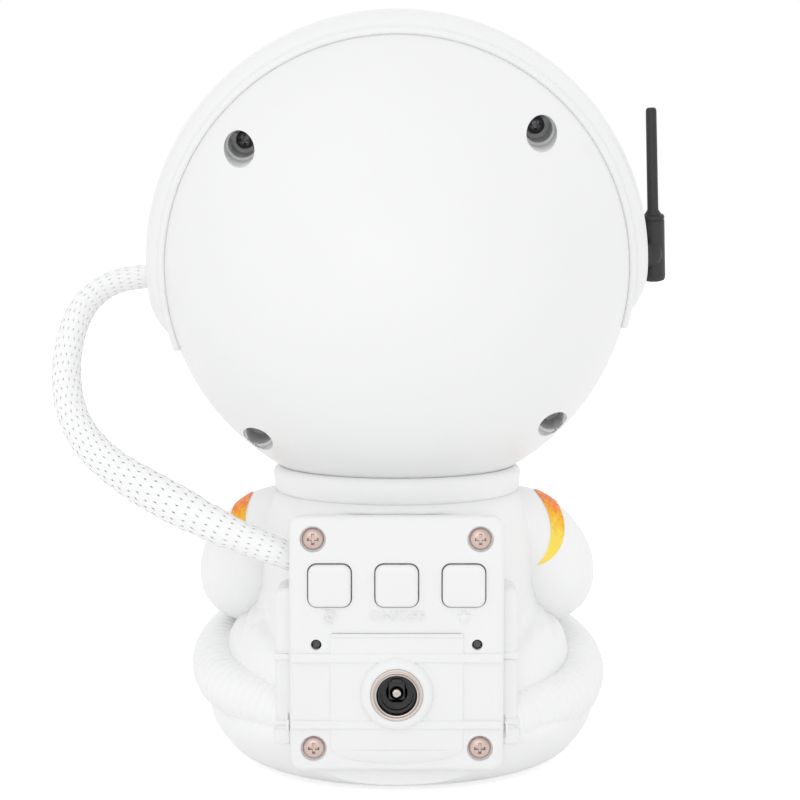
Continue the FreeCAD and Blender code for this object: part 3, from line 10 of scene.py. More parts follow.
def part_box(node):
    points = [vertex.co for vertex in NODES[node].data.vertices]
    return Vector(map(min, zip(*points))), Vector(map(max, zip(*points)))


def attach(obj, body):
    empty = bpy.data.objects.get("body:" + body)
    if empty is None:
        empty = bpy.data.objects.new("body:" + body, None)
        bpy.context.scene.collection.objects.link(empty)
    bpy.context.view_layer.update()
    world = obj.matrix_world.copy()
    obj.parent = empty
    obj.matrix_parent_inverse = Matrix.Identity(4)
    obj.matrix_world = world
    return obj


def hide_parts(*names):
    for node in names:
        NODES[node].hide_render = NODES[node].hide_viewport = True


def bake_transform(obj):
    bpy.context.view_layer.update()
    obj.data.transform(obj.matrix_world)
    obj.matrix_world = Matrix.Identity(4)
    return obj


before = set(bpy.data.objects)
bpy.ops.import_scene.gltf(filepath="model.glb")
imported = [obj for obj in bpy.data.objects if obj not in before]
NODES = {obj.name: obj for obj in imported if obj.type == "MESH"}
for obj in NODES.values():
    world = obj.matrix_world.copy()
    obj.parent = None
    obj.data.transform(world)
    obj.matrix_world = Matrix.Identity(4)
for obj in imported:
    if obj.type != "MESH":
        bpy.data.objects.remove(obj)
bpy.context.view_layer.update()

# %% [markdown]
# A small white figure of an astronaut sits on a bowl-shaped base.  Its helmet is a ball with a
# lamp, lenses and a little laser inside, and its backpack carries the buttons and the power socket.
# The measured parts are loaded above, so this lesson is about looks: rounded edges, soft cloth-like
# forms, braided hose and finishes.  Everything is in metres, so sizes in millimetres use MM.

# %% The unit
MM = 0.001

# %% [markdown]
# A long lens from behind the figure keeps the ball round and the base wide.  The camera looks a
# little down on the backpack.  A lens of 86 mm on a 36 mm wide sensor gives that flat look.

# %% Camera
CAMERA_AT = Vector((0.9 * MM, -568.4 * MM, 157.9 * MM))
CAMERA_DIP = math.radians(5.25)
CAMERA_LENS = 86.1
SENSOR_WIDE = 36
bpy.ops.object.camera_add(location=CAMERA_AT, rotation=(math.pi / 2 - CAMERA_DIP, 0, 0))
camera = bpy.context.object
camera.name = "studio_camera"
camera.data.sensor_width = SENSOR_WIDE
camera.data.lens = CAMERA_LENS
camera.data.clip_start = 0.05
bpy.context.scene.camera = camera
print("camera at", [round(c, 3) for c in camera.location], "lens", camera.data.lens)

# %% [markdown]
# The braided hose leaves the left ear, swings out behind the shoulder and goes into the side of the
# backpack.  Its line is a smooth NURBS spline with fourteen control points; the strands follow the
# points that Blender works out along that spline.

# %% The hose's line
HOSE_ROUTE = (
    (-72.0, 12.4, 142.5), (-80.8, 12.3, 142.0), (-88.4, 11.0, 139.4), (-94.4, 8.0, 134.0),
    (-97.3, 3.6, 126.2), (-98.2, -2.2, 117.0), (-96.9, -9.0, 107.8), (-93.0, -16.0, 99.5),
    (-86.5, -23.0, 92.6), (-77.2, -30.0, 86.9), (-65.9, -36.0, 81.6), (-53.4, -40.6, 75.7),
    (-40.9, -42.0, 69.9), (-28.0, -40.8, 65.0),
)


def spline_along(name, places, smoothness):
    """A curve object along places in metres: a spline of order 3 that meets both of its ends."""
    curve = bpy.data.curves.new(name, "CURVE")
    curve.dimensions = "3D"
    curve.resolution_u = smoothness
    spline = curve.splines.new("NURBS")
    spline.points.add(len(places) - 1)
    for point, place in zip(spline.points, places):
        point.co = (*place, 1)
    spline.order_u = 3
    spline.use_endpoint_u = True
    piece = bpy.data.objects.new(name, curve)
    bpy.context.scene.collection.objects.link(piece)
    return piece


hose_curve = spline_along("hose_line", [Vector(place) * MM for place in HOSE_ROUTE], 24)
bpy.context.view_layer.update()
line_mesh = bpy.data.meshes.new_from_object(hose_curve.evaluated_get(bpy.context.evaluated_depsgraph_get()))
HOSE_LINE = [v.co.copy() for v in line_mesh.vertices]
bpy.data.objects.remove(hose_curve)
bpy.data.meshes.remove(line_mesh)
HOSE_RUN = [0.0]
for before, after in zip(HOSE_LINE, HOSE_LINE[1:]):
    HOSE_RUN.append(HOSE_RUN[-1] + (after - before).length)
HOSE_LENGTH = HOSE_RUN[-1]
print("hose", len(HOSE_LINE), "points,", round(HOSE_LENGTH / MM, 1), "mm")

# %% [markdown]
# Plain studio: a pale floor, an even white sky and three soft lamps.  The key lamp is broad and comes
# from the upper left, the low lamp brings out the backpack, and the fill lamp is weak and comes from
# the far side.  Only rays that the camera, glass or metal see get the full white of the backdrop; the
# light on the figure stays at a plain level, so colours come out as they are written.

# %% Studio
scene = bpy.context.scene
scene.view_settings.view_transform = "Standard"
SKY_LIGHT = 0.95
SKY_SEEN = 1.0
FLOOR_WHITE = 0.95
FLOOR_GLOW = 1.4
GLOW_SHARE = 0.55
FLOOR_WIDE = 40
FIGURE_MIDDLE = Vector((0, 0, 0.1))


def feed(tree, value, place):
    """Puts a number, or what another node gives, into a node's input."""
    if isinstance(value, (int, float)):
        place.default_value = value
    else:
        tree.links.new(value, place)


def math_node(tree, operation, *values):
    """A math node; each of its inputs is a socket or a number."""
    node = tree.nodes.new("ShaderNodeMath")
    node.operation = operation
    for place, value in zip(node.inputs, values):
        feed(tree, value, place)
    return node.outputs[0]


def grey_node(tree, kind, grey, strength=None):
    """A shader or background node of one grey."""
    node = tree.nodes.new(kind)
    node.inputs["Color"].default_value = (grey, grey, grey, 1)
    if strength is not None:
        node.inputs["Strength"].default_value = strength
    return node.outputs[0]


def two_faced(tree, plain, shown, share, output):
    """Ends a node tree: the figure is lit by plain, the camera, glass and metal see a share of shown."""
    path = tree.nodes.new("ShaderNodeLightPath").outputs
    seen = math_node(tree, "MAXIMUM", path["Is Camera Ray"], path["Is Glossy Ray"])
    seen = math_node(tree, "MAXIMUM", seen, path["Is Transmission Ray"])
    mix = tree.nodes.new("ShaderNodeMixShader")
    tree.links.new(math_node(tree, "MULTIPLY", seen, share), mix.inputs["Fac"])
    tree.links.new(plain, mix.inputs[1])
    tree.links.new(shown, mix.inputs[2])
    tree.links.new(mix.outputs[0], tree.nodes.new(output).inputs["Surface"])


world = bpy.data.worlds.new("studio_sky")
scene.world = world
floor_finish = bpy.data.materials.new("pale_floor")
for owner in (world, floor_finish):
    owner.use_nodes = True
    owner.node_tree.nodes.clear()
tree = world.node_tree
two_faced(tree, grey_node(tree, "ShaderNodeBackground", 1, SKY_LIGHT),
          grey_node(tree, "ShaderNodeBackground", 1, SKY_SEEN), 1.0, "ShaderNodeOutputWorld")
tree = floor_finish.node_tree
two_faced(tree, grey_node(tree, "ShaderNodeBsdfDiffuse", FLOOR_WHITE),
          grey_node(tree, "ShaderNodeEmission", 1, FLOOR_GLOW), GLOW_SHARE, "ShaderNodeOutputMaterial")

bpy.ops.object.select_all(action="DESELECT")
bpy.ops.mesh.primitive_plane_add(size=FLOOR_WIDE, location=(0, 0, -0.02 * MM))
floor = bpy.context.object
floor.name = "studio_floor"
floor.data.materials.append(floor_finish)
for name, place, size, power in (("key_lamp", (-0.9, -1.2, 1.5), 1.8, 2.2),
                                 ("low_lamp", (-0.15, -1.4, 0.18), 0.8, 2.1),
                                 ("fill_lamp", (1.3, 0.9, 1.1), 1.6, 1.0)):
    bpy.ops.object.light_add(type="AREA", location=place)
    lamp = bpy.context.object
    lamp.name = name
    lamp.data.shape = "SQUARE"
    lamp.data.size = size
    lamp.data.energy = power
    lamp.rotation_euler = (FIGURE_MIDDLE - Vector(place)).to_track_quat("-Z", "Y").to_euler()
print("floor, sky and three soft lamps")

# %% [markdown]
# Moulded plastic isn't one flat colour.  It has a very fine grain, a slow drift in shade where the
# melt flowed, and patches that are handled more and so are a little shinier.  One node group makes
# all three, and each material places it with its own values.

# %% Moulded finish


def noise(tree, scale, detail):
    """A noise pattern over the object's own coordinates."""
    node = tree.nodes.new("ShaderNodeTexNoise")
    node.inputs["Detail"].default_value = detail
    feed(tree, scale, node.inputs["Scale"])
    tree.links.new(tree.nodes.new("ShaderNodeTexCoord").outputs["Object"], node.inputs["Vector"])
    return node.outputs["Fac"]


def shaded(tree, colour, shade):
    """A colour made darker by a shade from 0 to 1."""
    node = tree.nodes.new("ShaderNodeMix")
    node.data_type = "RGBA"
    node.blend_type = "MULTIPLY"
    node.inputs["Factor"].default_value = 1
    grey = tree.nodes.new("ShaderNodeCombineColor")
    for channel in grey.inputs[:3]:
        tree.links.new(shade, channel)
    tree.links.new(colour, node.inputs["A"])
    tree.links.new(grey.outputs[0], node.inputs["B"])
    return node.outputs["Result"]


MOULDED = bpy.data.node_groups.new("moulded_finish", "ShaderNodeTree")
for label, default in (("Color", (0.8, 0.8, 0.8, 1)), ("Drift", 0.04), ("Roughness", 0.4), ("Handling", 0.12),
                       ("Grain Scale", 2600.0), ("Grain Height", 0.00001)):
    kind = "NodeSocketColor" if label == "Color" else "NodeSocketFloat"
    MOULDED.interface.new_socket(label, in_out="INPUT", socket_type=kind).default_value = default
for label, kind in (("Color", "Color"), ("Roughness", "Float"), ("Normal", "Vector")):
    MOULDED.interface.new_socket(label, in_out="OUTPUT", socket_type="NodeSocket" + kind)
given, out = MOULDED.nodes.new("NodeGroupInput"), MOULDED.nodes.new("NodeGroupOutput")
flow = noise(MOULDED, 26, 3)
speck = noise(MOULDED, 900, 1)
both = math_node(MOULDED, "MULTIPLY_ADD", flow, 0.75, math_node(MOULDED, "MULTIPLY", speck, 0.25))
shade = math_node(MOULDED, "SUBTRACT", 1.0, math_node(MOULDED, "MULTIPLY", both, given.outputs["Drift"]))
MOULDED.links.new(shaded(MOULDED, given.outputs["Color"], shade), out.inputs["Color"])
touched = math_node(MOULDED, "SUBTRACT", noise(MOULDED, 60, 4), 0.5)
rough = math_node(MOULDED, "MULTIPLY_ADD", touched, given.outputs["Handling"], given.outputs["Roughness"])
MOULDED.links.new(rough, out.inputs["Roughness"])
grain = noise(MOULDED, given.outputs["Grain Scale"], 2)
bump = MOULDED.nodes.new("ShaderNodeBump")
bump.inputs["Strength"].default_value = 1
MOULDED.links.new(given.outputs["Grain Height"], bump.inputs["Distance"])
MOULDED.links.new(grain, bump.inputs["Height"])
MOULDED.links.new(bump.outputs["Normal"], out.inputs["Normal"])


def finish(name, colour, roughness, drift, handling, grain, height, **sockets):
    """A material from the moulded finish, its grain height in mm; other sockets go to the shader."""
    material = bpy.data.materials.new(name)
    material.use_nodes = True
    tree = material.node_tree
    shader = tree.nodes["Principled BSDF"]
    group = tree.nodes.new("ShaderNodeGroup")
    group.node_tree = MOULDED
    for label, value in (("Color", (*colour, 1)), ("Drift", drift), ("Roughness", roughness),
                         ("Handling", handling), ("Grain Scale", grain), ("Grain Height", height * MM)):
        group.inputs[label].default_value = value
    for label, place in (("Color", "Base Color"), ("Roughness", "Roughness"), ("Normal", "Normal")):
        tree.links.new(group.outputs[label], shader.inputs[place])
    for socket, value in sockets.items():
        shader.inputs[socket.replace("_", " ")].default_value = value
    material.diffuse_color = (*colour, 1)
    return material


# Each finish: name, colour, roughness, drift, handling, grain scale and grain height in mm.
FINISHES = {
    "white_helmet": finish("helmet_white", (0.875, 0.878, 0.88), 0.44, 0.03, 0.10, 2200, 0.004,
                           Coat_Weight=0.12, Coat_Roughness=0.35),
    "white_suit": finish("suit_white", (0.925, 0.927, 0.929), 0.48, 0.05, 0.12, 1500, 0.012),
    "ribbed_white": finish("ribbed_leg_white", (0.925, 0.927, 0.929), 0.5, 0.05, 0.12, 1500, 0.012),
    "white_panel": finish("panel_white", (0.865, 0.867, 0.870), 0.42, 0.03, 0.10, 3000, 0.008),
    "white_button": finish("key_white", (0.85, 0.85, 0.852), 0.3, 0.02, 0.10, 3200, 0.003,
                           Coat_Weight=0.3, Coat_Roughness=0.2),
    "gold_paint": finish("gold_orange_paint", (0.90, 0.40, 0.04), 0.36, 0.10, 0.15, 5200, 0.02,
                         Metallic=0.15),
    "copper_screw": finish("copper_tinted_steel", (0.66, 0.52, 0.47), 0.34, 0.22, 0.2, 1800, 0.012,
                           Metallic=0.9),
    "dark_steel": finish("dark_zinc_steel", (0.20, 0.20, 0.21), 0.42, 0.2, 0.2, 2600, 0.01, Metallic=0.85),
    "black_plastic": finish("matt_black_plastic", (0.022, 0.022, 0.023), 0.5, 0.2, 0.15, 2400, 0.02),
    "black_satin": finish("satin_black_plastic", (0.026, 0.026, 0.028), 0.42, 0.2, 0.15, 1800, 0.02),
    "visor_tint": finish("dark_visor_gloss", (0.006, 0.007, 0.012), 0.09, 0.3, 0.03, 900, 0.0005,
                         Specular_IOR_Level=0.32),
    "clear_lens": finish("clear_acrylic_lens", (0.95, 0.97, 1.0), 0.03, 0.01, 0.02, 800, 0.0002,
                         Transmission_Weight=1.0, IOR=1.49),
    "nylon_gear": finish("natural_nylon", (0.80, 0.79, 0.72), 0.5, 0.06, 0.1, 1600, 0.01),
    "chassis_sheet": finish("chassis_black", (0.06, 0.06, 0.062), 0.55, 0.2, 0.15, 1400, 0.03),
    "aluminium": finish("bare_aluminium", (0.74, 0.74, 0.75), 0.36, 0.12, 0.2, 1200, 0.01, Metallic=1.0),
    "lamp_phosphor": finish("yellow_phosphor", (0.86, 0.72, 0.16), 0.55, 0.08, 0.1, 3000, 0.01),
    "lamp_clear": finish("smoked_lamp", (0.035, 0.036, 0.04), 0.12, 0.1, 0.04, 1500, 0.001,
                         Coat_Weight=0.6),
    "brass": finish("turned_brass", (0.72, 0.55, 0.25), 0.3, 0.12, 0.15, 1500, 0.006, Metallic=1.0),
    "nickel": finish("nickel_plate", (0.60, 0.545, 0.505), 0.28, 0.12, 0.18, 1400, 0.004, Metallic=1.0),
    "motor_can": finish("zinc_plated_can", (0.56, 0.56, 0.58), 0.34, 0.12, 0.2, 1500, 0.008, Metallic=1.0),
    "magnet_plating": finish("magnet_nickel", (0.60, 0.60, 0.61), 0.2, 0.1, 0.12, 1500, 0.004, Metallic=1.0),
    "circuit_board": finish("green_solder_mask", (0.03, 0.19, 0.08), 0.32, 0.3, 0.12, 1200, 0.01),
    "dark_rubber": finish("soft_dark_rubber", (0.035, 0.035, 0.036), 0.72, 0.25, 0.1, 1500, 0.04),
    "braided_sleeve": finish("white_braid_yarn", (0.955, 0.957, 0.96), 0.5, 0.06, 0.1, 4200, 0.03,
                             Sheen_Weight=0.25, Sheen_Roughness=0.4),
}
PAINT_TOP, PAINT_DOWN = 78, 1.3 / 24  # the height in mm where the fade starts, and its share per mm
PAINT_SIDE, PAINT_IN = 50, 0.30 / 8   # the same across, measured from the side
PAINT_STOPS = ((0.0, (0.78, 0.08, 0.006, 1)), (0.11, (0.93, 0.19, 0.008, 1)),
               (0.28, (1.0, 0.46, 0.012, 1)), (0.56, (1.0, 0.76, 0.10, 1)))


def fading_paint(material):
    """Sprayed paint: red-orange at the top and outside, yellow below and inside, with soft clouds."""
    tree = material.node_tree
    apart = tree.nodes.new("ShaderNodeSeparateXYZ")
    tree.links.new(tree.nodes.new("ShaderNodeTexCoord").outputs["Object"], apart.inputs[0])
    lower = math_node(tree, "MULTIPLY_ADD", apart.outputs["Z"], -PAINT_DOWN / MM, PAINT_DOWN * PAINT_TOP)
    outer = math_node(tree, "ABSOLUTE", apart.outputs["X"])
    inner = math_node(tree, "MULTIPLY_ADD", outer, -PAINT_IN / MM, PAINT_IN * PAINT_SIDE)
    cloud = math_node(tree, "MULTIPLY_ADD", noise(tree, 700, 4), 0.55, -0.41)
    place = math_node(tree, "ADD", math_node(tree, "ADD", lower, inner), cloud)
    ramp = tree.nodes.new("ShaderNodeValToRGB")
    tree.links.new(place, ramp.inputs["Fac"])
    stops = ramp.color_ramp.elements
    for stop, (spot, colour) in zip((stops[0], stops[1]), (PAINT_STOPS[0], PAINT_STOPS[-1])):
        stop.position = spot
        stop.color = colour
    for spot, colour in PAINT_STOPS[1:-1]:
        stops.new(spot).color = colour
    group = next(node for node in tree.nodes if node.type == "GROUP")
    tree.links.new(ramp.outputs["Color"], group.inputs["Color"])


fading_paint(FINISHES["gold_paint"])
for node in NODES.values():
    for place in node.material_slots:
        place.material = FINISHES[place.material.name.split(".")[0]]
print(len(FINISHES), "finishes on", len(NODES), "measured parts")

# %% [markdown]
# The sleeve of the hose is braided from flat bundles of white yarn.  Sixteen bundles turn one way
# and sixteen the other, each going over one and under the next, which leaves small gaps.  Behind them
# a core tube in grey, painted shade, stands for the dark inside of the hose.  Each bundle is a thin
# closed ribbon along a helix round the hose's line.  The braid is narrow where it is pulled into the
# ear, spreads on its way to the backpack and draws in again at the socket there.

# %% Braided hose
STRANDS = 16
BRAID_PITCH = 96 * MM
STEPS_PER_CROSSING = 4
WAVE = 0.06 * MM
YARN_THICK = 0.12 * MM
CORE_SHRINK = 0.30 * MM
YARN_SHARE = 0.87
CORE_SIDES = 24
# The core's grey is painted shade: the dark inside of the hose that shows through the braid's gaps.
HOSE_CORE_SHADE = finish("hose_core_shadow", (0.52, 0.52, 0.53), 0.7, 0.2, 0.1, 2000, 0.02)
HOSE_SPLIT = 52 * MM
HOSE_RADII = ((0, 3.55), (12, 3.7), (34, 4.2), (60, 4.5), (85, 5.0), (103, 5.65), (112, 5.7),
              (122, 5.1), (134, 4.35), (150, 3.9))


def eased(part):
    """A share from 0 to 1 with a soft start and a soft end."""
    part = min(1.0, max(0.0, part))
    return part * part * (3 - 2 * part)


def hose_radius(run):
    """The outside of the braid at a distance along the hose, in metres."""
    run = run / MM
    for (start, r0), (end, r1) in zip(HOSE_RADII, HOSE_RADII[1:]):
        if run <= end:
            return (r0 + (r1 - r0) * eased((run - start) / (end - start))) * MM
    return HOSE_RADII[-1][1] * MM


def hose_frames():
    """At each point of the line: its run, its place and two directions across it."""
    frames = []
    across = Vector((0, 1, 0))
    for i, place in enumerate(HOSE_LINE):
        ahead = HOSE_LINE[min(i + 1, len(HOSE_LINE) - 1)] - HOSE_LINE[max(i - 1, 0)]
        ahead.normalize()
        across = (across - ahead * across.dot(ahead)).normalized()
        frames.append((HOSE_RUN[i], place, across.copy(), ahead.cross(across)))
    return frames


HOSE_FRAMES = hose_frames()


def on_hose(run):
    """The place and the two directions across at any distance along the hose."""
    run = min(max(run, 0.0), HOSE_LENGTH)
    low = min(bisect_right(HOSE_RUN, run) - 1, len(HOSE_RUN) - 2)
    a, b = HOSE_FRAMES[low:low + 2]
    part = (run - a[0]) / max(b[0] - a[0], 1e-9)
    return a[1].lerp(b[1], part), a[2].lerp(b[2], part), a[3].lerp(b[3], part)


def closed_strip(verts, faces, rings):
    """Joins rings of points into a tube with closed ends."""
    start = len(verts)
    count = len(rings[0])
    for ring in rings:
        verts.extend(ring)
    for i in range(len(rings) - 1):
        for j in range(count):
            a = start + i * count + j
            b = start + i * count + (j + 1) % count
            faces.append((a, b, b + count, a + count))
    faces.append(tuple(start + j for j in reversed(range(count))))
    faces.append(tuple(start + (len(rings) - 1) * count + j for j in range(count)))


def braid(name, first, last):
    """The braid between two distances along the hose, with a grey core of painted shade behind its gaps."""
    verts, faces = [], []
    crossing = BRAID_PITCH / STRANDS / 2
    count = round((last - first) / crossing * STEPS_PER_CROSSING)
    runs = [first + (last - first) * i / count for i in range(count + 1)]
    for way in (1, -1):
        for k in range(STRANDS):
            rings = []
            for run in runs:
                place, across, up = on_hose(run)
                radius = hose_radius(run) - YARN_THICK / 2 - WAVE
                turn = 2 * math.pi * (k / STRANDS + way * run / BRAID_PITCH)
                wave = way * WAVE * math.cos(math.pi * run / crossing)
                slant = math.atan(2 * math.pi * radius / BRAID_PITCH)
                half = YARN_SHARE * math.pi * radius / STRANDS * math.cos(slant)
                out_way = across * math.cos(turn) + up * math.sin(turn)
                side = up * math.cos(turn) - across * math.sin(turn)
                middle = place + out_way * (radius + wave)
                droop = half * half / (2 * radius)
                crown = YARN_THICK / 2 - droop / 4
                rings.append([middle + side * (half * across_it) + out_way * rise for across_it, rise in (
                    (1, -droop), (0.5, crown), (-0.5, crown), (-1, -droop), (0, -YARN_THICK / 2 - droop))])
            closed_strip(verts, faces, rings)
    yarn_faces = len(faces)
    # The core tube stands for the inner tube of the hose; its grey is painted shade, the dark inside seen
    # through the gaps.
    rings = []
    for run in runs[::3] + runs[-1:]:
        place, across, up = on_hose(run)
        radius = hose_radius(run) - CORE_SHRINK
        rings.append([place + (across * math.cos(a) + up * math.sin(a)) * radius
                      for a in (2 * math.pi * j / CORE_SIDES for j in range(CORE_SIDES))])
    closed_strip(verts, faces, rings)
    mesh = bpy.data.meshes.new(name)
    mesh.from_pydata(verts, [], faces)
    piece = bpy.data.objects.new(name, mesh)
    scene.collection.objects.link(piece)
    mesh.materials.append(FINISHES["braided_sleeve"])
    mesh.materials.append(HOSE_CORE_SHADE)
    for i, face in enumerate(mesh.polygons):
        face.use_smooth = True
        face.material_index = int(i >= yarn_faces)
    mesh.set_sharp_from_angle(angle=math.radians(50))
    path = [on_hose(run)[0] for run in runs[::4] + runs[-1:]]
    print(name, len(mesh.polygons), "faces,", round((last - first) / MM, 1), "mm")
    return piece, path


hose_upper, upper_path = braid("hose_upper", 0.0, HOSE_SPLIT)
hose_lower, lower_path = braid("hose_lower", HOSE_SPLIT, HOSE_LENGTH)
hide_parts("hose")
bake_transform(hose_upper)
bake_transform(hose_lower)

# %% [markdown]
# The rest is made the way a model maker works by hand: a primitive at its size and place, then
# extrudes, bevels and spins in edit mode.  These helpers pick faces or edges by where they are, put
# a finished shape in its place, and hand it to the body that carries it.

# %% Helpers for modelling by hand
HAIR = 0.002 * MM
TOUCHING = 1e-7
TO_FRONT = Matrix.Rotation(-math.pi / 2, 4, "X")
TO_REAR = Matrix.Rotation(math.pi / 2, 4, "X")


def move_to(x, y, z):
    """The matrix that moves a shape by millimetres."""
    return Matrix.Translation(Vector((x, y, z)) * MM)


def added(name):
    """The object that an operator has just added, under its own name."""
    piece = bpy.context.object
    piece.name = name
    piece.data.name = name
    return piece


def only(piece):
    """Selects one object and nothing else."""
    if bpy.context.mode != "OBJECT":
        bpy.ops.object.mode_set(mode="OBJECT")
    bpy.ops.object.select_all(action="DESELECT")
    piece.select_set(True)
    bpy.context.view_layer.objects.active = piece


def pick(kind, test):
    """In edit mode, selects the VERT, EDGE or FACE items that pass a test."""
    bpy.ops.mesh.select_mode(type=kind)
    bpy.ops.mesh.select_all(action="DESELECT")
    work = bmesh.from_edit_mesh(bpy.context.object.data)
    items = {"VERT": work.verts, "EDGE": work.edges, "FACE": work.faces}[kind]
    for item in [item for item in items if test(item)]:
        item.select_set(True)
    work.select_flush_mode()
    bmesh.update_edit_mesh(bpy.context.object.data)


def pick_all():
    """In edit mode, selects everything."""
    bpy.ops.mesh.select_all(action="SELECT")


def edit(piece):
    """Goes into edit mode with one object."""
    only(piece)
    bpy.ops.object.mode_set(mode="EDIT")


def done():
    """Leaves edit mode."""
    bpy.ops.object.mode_set(mode="OBJECT")


def close_rims():
    """In edit mode, puts a face on each open rim."""
    bpy.ops.mesh.select_mode(type="EDGE")
    bpy.ops.mesh.select_all(action="DESELECT")
    bpy.ops.mesh.select_non_manifold(extend=False)
    bpy.ops.mesh.edge_face_add()


def outward(piece):
    """Merges doubles and turns all faces outwards."""
    edit(piece)
    pick_all()
    bpy.ops.mesh.remove_doubles(threshold=HAIR)
    bpy.ops.mesh.normals_make_consistent(inside=False)
    done()


def set_down(piece, matrix=Matrix.Identity(4)):
    """Moves a shape to its place and leaves its object at the origin."""
    only(piece)
    piece.matrix_world = matrix @ piece.matrix_world
    bpy.ops.object.transform_apply(location=True, rotation=True, scale=True)


def change(piece, kind, **settings):
    """Adds a modifier with its settings and applies it."""
    only(piece)
    modifier = piece.modifiers.new(kind.lower(), kind)
    for key, value in settings.items():
        setattr(modifier, key, value)
    bpy.ops.object.modifier_apply(modifier=modifier.name)


def smooth_by(degrees, *pieces):
    """Shades pieces smooth, apart from edges that are sharper than an angle."""
    for piece in pieces:
        only(piece)
        bpy.ops.object.shade_smooth_by_angle(angle=math.radians(degrees))


def smooth_flats(*pieces):
    """Shades pieces smooth and keeps their flat faces flat in the light."""
    for piece in pieces:
        only(piece)
        bpy.ops.object.shade_smooth()
        change(piece, "WEIGHTED_NORMAL", keep_sharp=False, weight=80)


def soften_edges(width, *pieces, segments=2, angle=40):
    """Rounds the sharp edges of pieces a little."""
    for piece in pieces:
        change(piece, "BEVEL", width=width * MM, segments=segments, limit_method="ANGLE",
               angle_limit=math.radians(angle), use_clamp_overlap=True)
        smooth_flats(piece)


def joined(name, *pieces):
    """Makes several shapes one object."""
    only(pieces[0])
    for piece in pieces:
        piece.select_set(True)
    bpy.ops.object.join()
    return added(name)


def copy_of(piece, name, move=(0, 0, 0)):
    """A copy with its own mesh, moved by millimetres."""
    only(piece)
    bpy.ops.object.duplicate()
    twin = added(name)
    set_down(twin, move_to(*move))
    return twin


def combine(piece, operation, tool):
    """UNION adds the tool's shape, DIFFERENCE takes it away, INTERSECT keeps what both share."""
    change(piece, "BOOLEAN", operation=operation, object=tool, solver="EXACT")
    bpy.data.objects.remove(tool)


def cut_out(piece, *cutters):
    """Takes the cutters' shapes away from a piece."""
    combine(piece, "DIFFERENCE", cutters[0] if len(cutters) == 1 else joined("cutters", *cutters))


def give(piece, body, slot, *nodes, smooth=None):
    """Gives a piece its finish and its body, and hides the measured nodes that it stands for."""
    if smooth is not None:
        smooth_by(smooth, piece)
    if not piece.data.materials:
        piece.data.materials.append(FINISHES[slot])
    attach(piece, body)
    if nodes:
        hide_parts(*nodes)
    print(piece.name, len(piece.data.polygons), "faces, mm", [round(c / MM, 1) for c in piece.dimensions])


def around(middle, half):
    """The range that reaches half to both sides of a middle."""
    return middle - half, middle + half


def block(name, x, y, z, corner, edge=0.0, rear=True):
    """A plate given by its ranges in mm, with round corners seen along Y and a soft rear edge."""
    bpy.ops.mesh.primitive_cube_add(size=1)
    piece = added(name)
    size = Vector((x[1] - x[0], y[1] - y[0], z[1] - z[0])) * MM
    middle = Vector((x[0] + x[1], y[0] + y[1], z[0] + z[1])) * MM / 2
    set_down(piece, Matrix.Translation(middle) @ Matrix.Diagonal((*size, 1)))
    edit(piece)
    pick("EDGE", lambda e: abs(e.verts[0].co.y - e.verts[1].co.y) > 0.5 * size.y)
    bpy.ops.mesh.bevel(offset=corner * MM, segments=8, affect="EDGES")
    if edge:
        face_y = (y[0] if rear else y[1]) * MM
        pick("EDGE", lambda e: all(abs(v.co.y - face_y) < TOUCHING for v in e.verts))
        bpy.ops.mesh.bevel(offset=edge * MM, segments=4, affect="EDGES")
    done()
    return piece


def rod_y(name, radius, y, at, sides=48):
    """A round rod along Y, between two y values, through (x, z)."""
    bpy.ops.mesh.primitive_cylinder_add(
        vertices=sides, radius=radius * MM, depth=(y[1] - y[0]) * MM,
        location=(at[0] * MM, (y[0] + y[1]) / 2 * MM, at[1] * MM), rotation=(math.pi / 2, 0, 0))
    piece = added(name)
    set_down(piece)
    return piece


def turned(name, profile, steps=96, sweep=360.0, loop=False, place=None):
    """Spins a line of (radius, height) points in mm round Z; loop closes the line first.

    The shape is then set down at its place, if one is given as a matrix.
    """
    bpy.ops.mesh.primitive_plane_add(size=1 * MM)
    piece = added(name)
    edit(piece)
    bpy.ops.mesh.select_mode(type="VERT")
    pick_all()
    bpy.ops.mesh.merge(type="CENTER")
    points = [Vector((r, 0, z)) * MM for r, z in profile]
    if loop:
        points.append(points[0])
    bpy.ops.transform.translate(value=points[0])
    for here, there in zip(points, points[1:]):
        bpy.ops.mesh.extrude_region_move(TRANSFORM_OT_translate={"value": there - here})
    pick_all()
    bpy.ops.mesh.spin(steps=steps, angle=math.radians(sweep), center=(0, 0, 0), axis=(0, 0, 1))
    if sweep < 360:
        pick_all()
        bpy.ops.mesh.remove_doubles(threshold=HAIR)
        close_rims()
    done()
    outward(piece)
    if place is not None:
        set_down(piece, place)
    return piece


def stretched_ball(name, place, radii, segments, rings):
    """A ball with its own radius along each axis; place and radii are in mm."""
    bpy.ops.mesh.primitive_uv_sphere_add(segments=segments, ring_count=rings, radius=1)
    piece = added(name)
    set_down(piece, move_to(*place) @ Matrix.Diagonal((*(Vector(radii) * MM), 1)))
    return piece


def arc(middle, radius, start, end, count):
    """Points on an arc, from one angle in degrees to another."""
    turns = [math.radians(start + (end - start) * i / count) for i in range(count + 1)]
    return [(middle[0] + radius * math.cos(turn), middle[1] + radius * math.sin(turn)) for turn in turns]


print("helpers ready")

# %% [markdown]
# The backpack's rear plate is a thick moulding with soft edges.  It has three square windows for the
# keys, four recesses for screws, two tiny holes for lamps, and a boss round the power socket.  A
# plain plate gets its holes cut first, so one bevel can round every rim, and then the raised parts:
# a middle field, two straps and a lip to pull it with.

